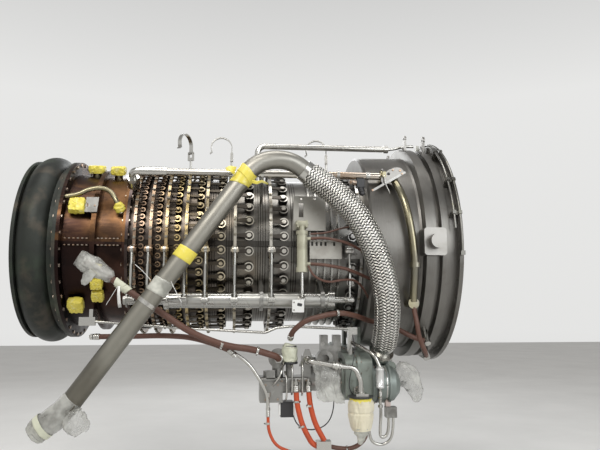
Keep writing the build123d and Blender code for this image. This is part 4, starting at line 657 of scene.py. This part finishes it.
def make_braid():
    """Each ribbon passes over two and under two of the other set, so floats stand in columns."""
    route = curve_points(HOSE_ROUTE, 40)
    pts = spaced(route, 2.8)
    sides = frames_along(pts)
    twist = tan(radians(BRAID_ANGLE)) / HOSE_R
    lengths = [0.0]
    for a, b in zip(pts, pts[1:]):
        lengths.append(lengths[-1] + (b - a).length)
    cross = pi / (CARRIERS * twist)
    width = TURN / CARRIERS * 0.5 * 0.72
    shell, uvs = Shell(), []
    for sense in (1, -1):
        for k, start in enumerate(angles(CARRIERS)):
            rows = []
            for p, s, (a, b) in zip(pts, lengths, sides):
                over = sense * cos(pi / 2 * (2 * k + sense * s / cross - 0.5))
                row = []
                for j in range(5):
                    off = j / 2 - 1
                    w = start + sense * twist * s + off * width
                    r = HOSE_R - 3.4 + 2.2 * over + 1.7 * (1 - off * off)
                    row.append(p + (a * cos(w) + b * sin(w)) * r)
                    uvs.append(((over + 1) / 2, j / 4))
                rows.append(row)
            shell.grid(rows, closed=False)
    obj = add_piece("hose_braid", shell, "braid")
    layer = obj.data.uv_layers.new(name="strand")
    for loop in obj.data.loops:
        layer.data[loop.index].uv = uvs[loop.vertex_index]
    add_piece("hose_core", tube(spaced(route, 20), HOSE_R - 5.8, 36), "hose_core")
    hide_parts("braided_hose")


make_braid()

# Hexagon nuts on the vane rings' pins, by the station of the ring and the number of levers
VANE_ROWS = [(-526, 34), (-1034, 36), (-1232, 34), (-1389, 40), (-1498, 46), (-1605, 54), (-1690, 62),
             (-1775, 70)]
for row, (x, count) in enumerate(VANE_ROWS):
    turned = 0 if count % 4 == 2 else 0.5
    spots = [360 / count * (k + turned) for k in range(count)]
    nuts(f"ring_nuts_{row}", [(radial(x, 503.7, w), radial(0, 1, w)) for w in spots], 17.5, 6.2, "nut",
         f"vane_row_{row}")

# Delivery pipe: tape bands with loose ends, a cloudy band with ties and a bagged end
PIPE_A = Vector((-2012, -765, -822))
PIPE_B = Vector((-1114, -695, 428))
PIPE_R = 50


def on_pipe(x):
    """The point of the delivery pipe's axis at a station along X."""
    return PIPE_A.lerp(PIPE_B, (x - PIPE_A.x) / (PIPE_B.x - PIPE_A.x))


def beside(point, *offsets):
    """A route given by its offsets from a point."""
    return [point + Vector(v) for v in offsets]


for name, x, lift, width, material, slant, start, seed in (
        ("pipe_tape_upper", -1196, 0, 74, "yellow_tape", 16, 2.0, 1),
        ("pipe_tape_upper_2", -1178, 1.5, 50, "yellow_tape", -12, 0.6, 5),
        ("pipe_tape_lower", -1483, 0, 66, "yellow_tape", 4, 1.2, 2),
        ("pipe_film_band", -1600, 0, 80, "cloudy_film", 6, 1.2, 3)):
    tape_band(name, on_pipe(x), PIPE_B - PIPE_A, PIPE_R + lift, width, material, slant, start=start,
              seed=seed)
up = on_pipe(-1185)
ribbon("pipe_tape_tail", beside(up, (35, -68, -40), (62, -78, -48), (88, -76, -40), (118, -70, -52)),
       (0, 0.2, 1), (20, 14), "yellow_tape", curl=1.6)
ribbon("pipe_tape_flap", beside(up, (-50, -40, 20), (-78, -46, 30), (-98, -50, 24)), (0, 0.3, 1), (50, 30),
       "yellow_tape", curl=0.5)
mid = on_pipe(-1600)
wire("pipe_tie_a", 1.6, beside(mid, (55, -32, 28), (75, -70, -10), (115, -75, -80)), "white_card")
wire("pipe_tie_b", 1.6, beside(mid, (-40, -55, 30), (-75, -75, 75), (-115, -70, 105)), "white_card")
bag("end_sleeve", [(-1985, -763, -786, 52, 52), (-2030, -764, -835, 57, 56), (-2075, -765, -875, 60, 58),
                   (-2115, -765, -905, 58, 56), (-2150, -765, -933, 55, 54)], wobble=0.07, seed=2)
bag("end_tip", [(-2120, -765, -909, 57.5, 56), (-2142, -765, -927, 58, 56), (-2158, -766, -940, 52, 50),
                (-2168, -766, -948, 36, 34)], "cloudy_film", wobble=0.12, seed=9, rings=20)
bag("end_fold", [(-2000, -800, -850, 30, 16), (-1975, -804, -872, 62, 20), (-1945, -804, -890, 58, 16),
                 (-1910, -802, -902, 30, 10), (-1896, -802, -905, 12, 4)],
    wobble=0.3, seed=4, rings=26, sides=40)
tape_band("end_tape", (-2118, -765, -907), (-0.778, 0, -0.626), 60, 30, "pale_tape", slant=4, seed=7)

# Bagged end of the upper oil hose, its pale tape, a strap and a string
OIL_DIR = Vector((-0.857, 0, 0.514))
lathe("oil_hose_end", Vector((-1990, -650, -118)) - OIL_DIR * 4, OIL_DIR, [
    (0, 10), (0, 20.5), (10, 20.5), (12, 15), (22, 15), (24, 10), (28, 10), (28, 0)], sides=24)
bag("oil_hose_bag", [(-1850, -650, -208, 21.5, 21.5), (-1872, -650, -192, 34, 30),
                     (-1912, -652, -166, 44, 33), (-1958, -654, -139, 48, 33), (-2004, -655, -113, 45, 25),
                     (-2026, -656, -100, 38, 7)],
    wobble=0.22, seed=11)
bag("oil_hose_bag_tail", [(-1938, -688, -172, 22, 7), (-1960, -690, -198, 26, 10), (-1976, -689, -222, 20, 8),
                          (-1984, -687, -240, 10, 4)], wobble=0.25, seed=13, rings=20, sides=40)
for k in range(4):
    at = Vector((-1822, -650, -229.5)).lerp(Vector((-1780, -650, -261.5)), k / 3)
    tape_band(f"oil_hose_tape_{k}", at, (-0.8, 0, 0.6), 17.8 + 1.6 * (k % 2), 34, "pale_tape",
              slant=6 if k % 2 else -6, start=k * 1.3, seed=20 + k, layers=3)
ribbon("oil_hose_strap", [(-1812, -672, -245), (-1812, -675, -285), (-1808, -674, -325), (-1804, -668, -352)],
       (1, 0, 0), (12, 20), "white_card", curl=0.4)
wire("oil_hose_string", 1.3, [(-1820, -670, -248), (-1842, -676, -290), (-1872, -672, -340)], "white_card")


# Crumpled film over the crossover's start, hanging down beside the canister
def hanging_film(name, corners, depth, seed, bulge=12, n=44, m=34):
    """A thin film bag between four corners (top left, top right, low right, low left)."""
    tl, tr, br, bl = (Vector(c) for c in corners)
    front, back = [], []
    for i in range(n + 1):
        v = i / n
        tall = sin(pi * min(1, v * 0.97 + 0.03)) ** 0.5
        front.append([])
        back.append([])
        for j in range(m + 1):
            u = j / m
            at = Vector((u * 3.1 + seed, v * 2.7, seed * 0.3))
            wave = (noise.noise(at) * 1.3 + ridged(at * 2.3) * 0.7 + ridged(at * 5.1) * 0.35) * depth
            edge = sin(pi * u) ** 0.5 * tall
            slide = 12 * noise.noise(Vector((u * 4 + seed, v * 4, 7.7)))
            p = tl.lerp(tr, u).lerp(bl.lerp(br, u), v) + Vector((slide, 0, slide * 0.8))
            front[-1].append(p + Vector((0, -bulge * edge + wave, 0)))
            back[-1].append(p + Vector((0, bulge * 0.6 * edge + wave, 0)))
    shell = Shell().grid(front, closed=False)
    sheet = len(shell.faces)
    shell.grid(back, closed=False)
    shell.faces[sheet:] = [f[::-1] for f in shell.faces[sheet:]]
    return add_piece(name, shell, "clear_film")


hanging_film("crossover_film", [(-832, -652, -622), (-705, -655, -640), (-655, -650, -845),
                                (-792, -650, -828)], 5.5, seed=3)
lathe("crossover_ball", (-722, -657, -648), (0.98, 0, -0.17), [
    (0, 13), (2, 17.5), (10, 18.5), (12, 16.5), (16, 20), (22, 22.5), (29, 22.5), (35, 20), (39, 16.5),
    (41, 18.5), (49, 17.5), (51, 13)])


# The canister's cloth wrap: folds gathered in by two ties, over a cloudy tip
def cloth_wrap(rings=110, sides=128):
    cx, cy = -574, -660
    profile = [(-813.5, 44), (-820, 52), (-835, 60), (-856, 64.5), (-880, 61.5), (-888, 57.5), (-896, 61.5),
               (-920, 60.5), (-945, 56), (-962, 51.5), (-969, 47.5), (-976, 46)]
    rows = []
    for i in range(rings + 1):
        t = i / rings * (len(profile) - 1)
        k = min(int(t), len(profile) - 2)
        z, r = (p + (q - p) * (t - k) for p, q in zip(profile[k], profile[k + 1]))
        row = []
        for w in angles(sides):
            at = Vector((cos(w) * 1.5, sin(w) * 1.5, z * 0.009))
            gather = sin(w * 11 + 3 * noise.noise(at * 0.8)) * abs(noise.noise(at * 1.3))
            rr = r + 6 * noise.noise(at + Vector((3, 0, 0))) + 4 * gather + 3.6 * ridged(at * 2.4)
            row.append(Vector((cx + cos(w) * rr, cy + sin(w) * rr, z)))
        rows.append(row)
    shell = Shell().grid(rows)
    shell.verts.append(Vector((cx, cy, -812.5)))
    shell.fan(len(shell.verts) - 1, sides, 0, False)
    return add_piece("canister_wrap", shell, "wrap_cloth")


wrap = cloth_wrap()
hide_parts("canister")
bag("canister_tip", [(-574, -660, -962, 50, 50), (-574, -660, -990, 36, 36), (-576, -660, -1015, 21, 21),
                     (-580, -660, -1036, 14, 13), (-582, -660, -1046, 8, 7)],
    "cloudy_film", wobble=0.18, seed=8, rings=24)
tape_band("canister_tape", (-574, -660, -826), (0, 0, 1), 56, 22, "yellow_tape", seed=31)
collar("canister_plate", (-574, -660, -812), [(0, 34), (0, 64), (1, 66), (7, 66), (8, 64), (8, 34)],
       "black_cap")

# The valve cap's crumpled cover and the port's rim
bag("cap_cover", [(-932, -520, -640, 40, 40), (-932, -520, -622, 43.5, 42.5), (-932, -520, -590, 43, 42),
                  (-931, -521, -566, 40.5, 39.5), (-929, -522, -550, 30, 29), (-928, -522, -546, 10, 10)],
    "pale_tape", wobble=0.11, seed=6)
collar("cap_ring", (-932, -520, -652), [(0, 30), (0, 42.5), (2, 44.5), (8, 44.5), (10, 42.5), (10, 30)],
       "black_cap")


# Yellow covers on the rear casing's stubs and on the tube's end
def taped_cover(name, x, angle, r, seed, low=468, high=508, sides=72, rings=34):
    """Tape folded over a stub: a crumpled square sleeve with its top pressed flat."""
    d = radial(0, 1, angle)
    a = Vector((1, 0, 0))
    b = d.cross(a)
    rows = []
    for i in range(rings + 1):
        t = i / rings
        if t < 0.6:
            s = low + (high - low) * t / 0.6
            k = 1.05 + 0.08 * sin(pi * t / 0.6)
        else:
            s = high + 3 * (t - 0.6) / 0.4
            k = 1.05 * cos(pi / 2 * (t - 0.6) / 0.4) + 0.01
        row = []
        for w in angles(sides):
            square = 1 / max(abs(cos(w)), abs(sin(w))) ** 0.7
            at = Vector((cos(w) * k * 1.3, sin(w) * k * 1.3, s * 0.028 + seed))
            ridge = ridged(at * 1.9)
            fine = ridged(at * 4.1 + Vector((seed, 0, 0)))
            rr = r * k * square * (1 + 0.1 * noise.noise(at) + 0.08 * ridge + 0.03 * fine)
            lift = 4.5 * ridge + 2.2 * fine if t > 0.45 else 0.0
            row.append(a * x + d * (s + lift) + (a * cos(w) + b * sin(w)) * rr)
        rows.append(row)
    return add_piece(name, Shell().grid(rows), "yellow_tape")


for k, (x, angle, r) in enumerate(((-2094, 66, 36), (-2070, 14, 40), (-1935, 20, 36), (-2100, 134, 36))):
    taped_cover(f"stub_cover_{k}", x, angle, r, seed=k * 3.3)
for k, angle in enumerate((117, 108, 126)):
    taped_cover(f"stub_cap_{k}", -1975, angle, 27, seed=20 + k * 2.1, low=474)
bag("tube_end_tape", [(-1879, -454, 219, 16, 16), (-1873, -451, 206, 26, 24), (-1868, -449, 192, 30, 24),
                      (-1863, -446, 178, 26, 18), (-1858, -443, 166, 15, 12)],
    "yellow_tape", wobble=0.3, seed=5, rings=20, sides=32)

# Hose ends and band clamps
hose_end("hose_sleeve_a", (-1950, -440, -508), (-0.985, 0.16, -0.01), 14, 55)
hose_end("hose_sleeve_b", (-1254, -617, -570), (0.72, -0.03, -0.7), 14)
hose_end("hose_sleeve_c", (-930, -586, -499), (-0.05, 0.78, -0.63), 14, 34)
hose_end("hose_sleeve_d", (-994, -604, -618), (0, 1, -0.06), 17, 30)
hose_end("drain_sleeve_a", (-905, -600, -785), (0, 0, 1), 14, 56)
hose_end("drain_sleeve_b", (-839, -600, -785), (0, 0, 1), 14, 56)
hose_end("drain_sleeve_c", (-1050, -600, -908), (0, 0, 1), 9)
DRAIN_CLAMPS = [((-903, -601.5, -838), (0.05, 0, -1), 14.2), ((-836, -599, -860), (0.08, 0, -1), 14.2),
                ((-1049, -601.5, -945), (0.02, 0, -1), 8.3), ((-872, -606, -962), (0.25, 0, -0.9), 14.2),
                ((-940, -607.5, -1092), (0.9, 0, -0.3), 8.3)]
OIL_CLAMPS = [((-1290, -649.5, -541), (0.95, 0, -0.33), 17.2),
              ((-1108, -645.5, -571), (0.9, 0.1, -0.25), 17.2),
              ((-690, -660.5, -378.5), (1, 0.05, 0.1), 14.2)]
for k, (centre, direction, r) in enumerate(DRAIN_CLAMPS):
    hose_band(f"drain_clamp_{k}", centre, direction, r, 10, box=0.2 + 0.3 * k)
for k, (centre, direction, r) in enumerate(OIL_CLAMPS):
    hose_band(f"oil_clamp_{k}", centre, direction, r, 12, box=0.4)

# A white plate on the crank under the actuator, with a dark plate as painted shade in its slot, two posts and
# two screws
CRANK = "torque_shaft_near"
NEAR = (0, -1, 0)
plate("crank_plate", (-892, -584.5, -345), (1, 0, 0), (0, 0, 1), 32, 34, 3, "white_card", CRANK)
# A dark plate: painted shade in the slot
plate("crank_plate_slot_shade", (-884, -586.8, -338), (1, 0, -0.2), (0.2, 0, 1), 13, 8, 1, "black_cap", CRANK)
nuts("crank_plate_posts", facing(NEAR, (-880, -569.5, -318), (-889, -569.5, -311)), 6.6, 13.5, body=CRANK)
nuts("crank_plate_screws", facing(NEAR, (-914, -586, -326), (-914, -586, -366)), 10, 3, "bright_steel", CRANK)

# A plate over the ring of the rear casing
plate("case_plate", radial(-2018, 491.5, 65), (1, 0, 0), (0, cos(radians(65)), sin(radians(65))), 34, 50, 3,
      "alloy")
nuts("case_plate_posts", [(radial(-2040, 440, 65), radial(0, 1, 65))], 14, 51)
nuts("case_plate_nuts", facing(radial(0, 1, 66), radial(-2000, 492.6, 66), radial(-2040, 492.6, 66)), 12, 5)

# Small lines and fittings round the gearbox
wire("valve_line_a", 6, [(-924, -555, -655), (-924, -590, -660), (-924, -600, -690), (-924, -600, -765),
                         (-924, -592, -800), (-924, -566, -804)])
wire("valve_line_b", 5.5, [(-868, -566, -640), (-868, -590, -646), (-870, -602, -680), (-871, -602, -770),
                           (-871, -590, -806), (-871, -566, -810)])
wire("valve_line_c", 5, [(-960, -560, -690), (-958, -585, -700), (-953, -596, -730), (-953, -596, -800),
                         (-955, -590, -830), (-960, -568, -836)])
wire("valve_line_d", 5.5, [(-1030, -560, -770), (-1010, -590, -740), (-985, -600, -700), (-972, -580, -665),
                           (-968, -552, -640)])
rounded_box("valve_box", (-948, -525, -884), (34, 34, 40), "black_cap")
rounded_box("valve_plug", (-914, -545, -893), (7, 12, 22), "white_card", edge=3)
rounded_box("valve_plug_2", (-985, -545, -883), (6, 11, 30), "white_card", edge=3)
wire("valve_cable", 3.2, [(-914, -548, -912), (-906, -560, -950), (-860, -565, -985), (-790, -560, -990),
                          (-722, -540, -960), (-690, -520, -880), (-690, -505, -815)], "black_cable")
rounded_box("valve_bracket", (-1035, -560, -700), (24, 14, 20), "alloy")
nuts("valve_bolts", facing(NEAR, (-1062, -572, -756), (-1062, -572, -830), (-998, -572, -756),
                           (-998, -572, -830), (-975, -560, -738), (-885, -560, -738), (-885, -560, -784),
                           (-846, -560, -738)), 13, 5)

# Screws round the gearbox's joint, and on the pads of the pumps
GEAR_RIM = [(-590, -640), (-590, -700), (-590, -770), (-585, -826), (-530, -846), (-440, -863), (-350, -863),
            (-250, -863), (-150, -863), (-540, -612), (-480, -597), (-400, -597), (-300, -597), (-200, -597),
            (-100, -597)]
PUMP_PADS = [(-430, -735, 98), (-190, -720, 74), (40, -735, 88), (290, -725, 74)]
nuts("gear_rim_bolts", [((x, y, z), (way, 0, 0)) for x, way in ((-558.5, 1), (-576.5, -1))
                        for y, z in GEAR_RIM], 13, 5)
nuts("pump_bolts", [((-650, y + r * cos(w + 0.2), z + r * sin(w + 0.2)), (-1, 0, 0))
                    for y, z, r in PUMP_PADS for w in angles(8)], 12, 5)

# Silver filter tube beside the starter, and the strips, screws and film round the starter
collar("filter_body", (-467, -642, -770), [
    (0, 12), (0, 20.5), (4, 22.5), (12, 22.5), (13, 21), (90, 21), (91, 22.5), (99, 22.5), (102, 20),
    (110, 15), (110, 10)], "silver_paint", sides=32)
hose_end("filter_low", (-467, -642, -790), (0, 0, -1), 8.5, 44)
nuts("filter_nut", facing((0, 0, 1), (-467, -642, -868)), 26, 14, "bright_steel")
STARTER_Y, STARTER_Z = -500, -765
for name, x, width, material in (("starter_strip_a", -465.5, 10, "black_cap"),
                                 ("starter_strip_b", -416, 7, "bright_steel")):
    tape_band(name, (x, STARTER_Y, STARTER_Z), (1, 0, 0), 100.3, width, material, slant=1.2, wraps=1.0,
              seed=x * 0.009, layers=0.4)
nuts("starter_bolts", facing((1, 0, 0), *((-481, STARTER_Y + 107 * cos(w), STARTER_Z + 107 * sin(w))
                                          for w in angles(12))), 11, 4.5)
bag("starter_film", [(-345, -520, -690, 50, 50), (-318, -520, -705, 62, 52), (-275, -525, -735, 60, 40),
                     (-248, -530, -790, 46, 24), (-240, -530, -842, 28, 12), (-238, -530, -862, 10, 5)],
    wobble=0.26, seed=17)

# Drain fittings under the starter: a block, two bent tubes and a short hose back to the drain block
rounded_box("drain_manifold", (-393, -560, -905), (30, 22, 28), "alloy")
rounded_box("drain_neck", (-405, -545, -862), (14, 14, 20), "sealing_tape")
wire("drain_tube_a", 8.5, [(-403, -560, -925), (-404, -560, -990), (-420, -562, -1034), (-452, -562, -1034),
                           (-452, -562, -990), (-450, -575, -930), (-458, -610, -885), (-467, -640, -862)])
wire("drain_tube_b", 8, [(-380, -560, -925), (-378, -558, -975), (-390, -552, -1052), (-440, -548, -1080),
                         (-500, -552, -1060), (-512, -556, -990), (-512, -556, -930), (-512, -550, -850)])
wire("drain_link", 11.5, [(-730, -600, -1066), (-660, -602, -1082), (-590, -596, -1076), (-530, -585, -1030),
                          (-530, -566, -960), (-532, -552, -900), (-532, -545, -850)], "brown_hose", sides=14)
hose_end("drain_link_end", (-532, -550, -872), (0, 0.1, 1), 11.5, 30)
hose_band("drain_link_band", (-640, -601, -1083.5), (1, 0, 0), 11.8, 9, box=1.4)
wire("knuckle_cable", 2.2, [(-585, -510, -500), (-586, -560, -545), (-590, -598, -590), (-606, -612, -650),
                            (-622, -612, -720), (-626, -605, -766), (-610, -598, -800), (-600, -592, -812)],
     "black_cable")


# The bracket at the top pipe's front end: a rounded plate with a dark disk as painted shade in its hole, its
# lower bar and a hook bolt
def bracket_plate(name, a, b, rise, y, thick, material, steps=28):
    """A flat plate with one straight edge from a to b (x, z) and a rounded back."""
    ax, az = a
    ux, uz = b[0] - ax, b[1] - az
    span = hypot(ux, uz)
    ring = []
    for k in range(steps + 1):
        w = pi * k / steps
        u, v = 0.5 - 0.5 * cos(w), sin(w) ** 0.7 * rise / span
        ring.append((ax + ux * u - uz * v, az + uz * u + ux * v))
    rows = [[Vector((x, y - h, z)) for x, z in ring] for h in (thick, 0)]
    return add_piece(name, Shell().grid(rows, low=True, high=True), material, smooth=False)


bracket_plate("band_plate", (-410, 336), (-286, 408), 52, -548, 3, "frame_fitting")
plate("band_bar", (-376, -555, 350), (0.868, 0, 0.497), (-0.497, 0, 0.868), 112, 6.2, 8, "alloy")
# A dark disk: painted shade in the plate's hole
lathe("band_hole_shade", (-376, -550.5, 394.5), NEAR, [(0, 8.5), (1.2, 8.5), (1.2, 0)], "black_cap", sides=24)
nuts("band_screws", facing(NEAR, (-309, -550.8, 414), (-350, -550.8, 417), (-300, -558.5, 393.5),
                           (-470, -558.5, 296.2)), 13, 5)
wire("band_hook", 3.4, [(-402, -470, 404), (-402, -488, 426), (-402, -512, 430), (-402, -538, 415),
                        (-402, -561.5, 390), (-402, -564, 360), (-398, -564, 330), (-376, -563, 290),
                        (-372, -556, 280)])
hose_band("top_pipe_band", (-487, -505, 388), (1, 0, 0), 21.3, 22, box=1.2)
rounded_box("pipe_block", (-532, -515, 343), (22, 18, 25), "black_cap")
hose_end("pipe_block_end", (-532, -515, 322), (0.3, -0.1, -1), 14, 55, "black_cable")
hose_end("pipe_block_side", (-555, -515, 345), (-1, -0.1, 0.1), 12, 45, "bolt")


# Floor, world, lights and camera, in metres
def stage_floor(half=14.0, drop=0.35):
    z = box_before[0][2] - drop
    me = bpy.data.meshes.new("floor")
    corners = [(-half, -half, z), (half, -half, z), (half, half, z), (-half, half, z)]
    me.from_pydata(corners, [], [(0, 1, 2, 3)])
    obj = bpy.data.objects.new("floor", me)
    bpy.context.scene.collection.objects.link(obj)
    s = new_look("floor")
    tone = s.ramp([(0.3, (0.7, 0.7, 0.69)), (0.7, (0.76, 0.76, 0.75))], s.clouds(s.place(), 1.5, 4.0, 0.6))
    s.paint({"Base Color": tone, "Roughness": 0.85})
    me.materials.append(M["floor"])


def world():
    """A soft studio: one look for what is seen or mirrored, and another that lights the part."""
    bpy.context.scene.world = bpy.data.worlds.new("studio")
    s = Shader(bpy.context.scene.world)
    s.tree.nodes.clear()
    height = s.spread(s.split(s.add("TexCoord").outputs["Generated"])[2], -1.0, 1.0)
    lit = s.ramp([(0.0, (0.2, 0.19, 0.18)), (0.42, (0.3, 0.29, 0.28)), (0.56, (0.62, 0.61, 0.6)),
                  (0.8, (1.0, 0.98, 0.95))], height)
    seen = s.ramp([(0.3, (0.52, 0.52, 0.51)), (0.48, (0.78, 0.78, 0.77)), (0.66, (0.8, 0.8, 0.79)),
                   (0.88, (0.34, 0.34, 0.34))], height)
    path = s.add("LightPath").outputs
    ray = path["Is Camera Ray"]
    for other in ("Is Glossy Ray", "Is Transmission Ray"):
        ray = s.maths("MAXIMUM", ray, path[other])
    shown = s.add("Background", {"Color": seen}).outputs[0]
    light = s.add("Background", {"Color": lit, "Strength": 0.52}).outputs[0]
    s.add("OutputWorld", {"Surface": s.add("MixShader", {0: ray, 1: light, 2: shown}).outputs[0]})


def aim(obj, place, direction):
    """Puts a light or camera in its place, looking along a direction."""
    obj.location = place
    obj.rotation_euler = direction.to_track_quat("-Z", "Y").to_euler()
    bpy.context.scene.collection.objects.link(obj)


def area_light(name, place, target, size, power, colour):
    data = bpy.data.lights.new(name, "AREA")
    data.shape = "RECTANGLE"
    data.size, data.size_y = size
    data.energy = power
    data.color = colour
    aim(bpy.data.objects.new(name, data), place, Vector(target) - Vector(place))


stage_floor()
world()
area_light("key", (-2.6, -4.2, 3.4), (-1.2, 0, 0), (3.0, 1.6), 130, (1.0, 0.98, 0.94))
area_light("fill", (1.6, -4.0, 1.0), (-0.8, 0, -0.2), (2.4, 2.4), 74, (0.95, 0.98, 1.0))
area_light("top", (-1.2, -0.6, 3.6), (-1.2, 0, 0), (3.6, 0.8), 62, (1.0, 0.99, 0.97))
area_light("back", (-1.2, 4.4, 2.6), (-1.2, 0, 0.2), (3.6, 1.6), 70, (0.96, 0.98, 1.0))

CAMERA_PLACE = (-1.22, -3.8, -0.34)
YAW, PITCH = radians(6.0), radians(7.6)
cam_data = bpy.data.cameras.new("camera")
cam_data.lens = 36.0
cam_data.sensor_width = 36.0
cam_data.clip_start = 0.05
cam_data.clip_end = 60.0
cam = bpy.data.objects.new("camera", cam_data)
aim(cam, CAMERA_PLACE, Vector((sin(YAW) * cos(PITCH), cos(YAW) * cos(PITCH), sin(PITCH))))
bpy.context.scene.camera = cam
bpy.context.scene.view_settings.view_transform = "Standard"
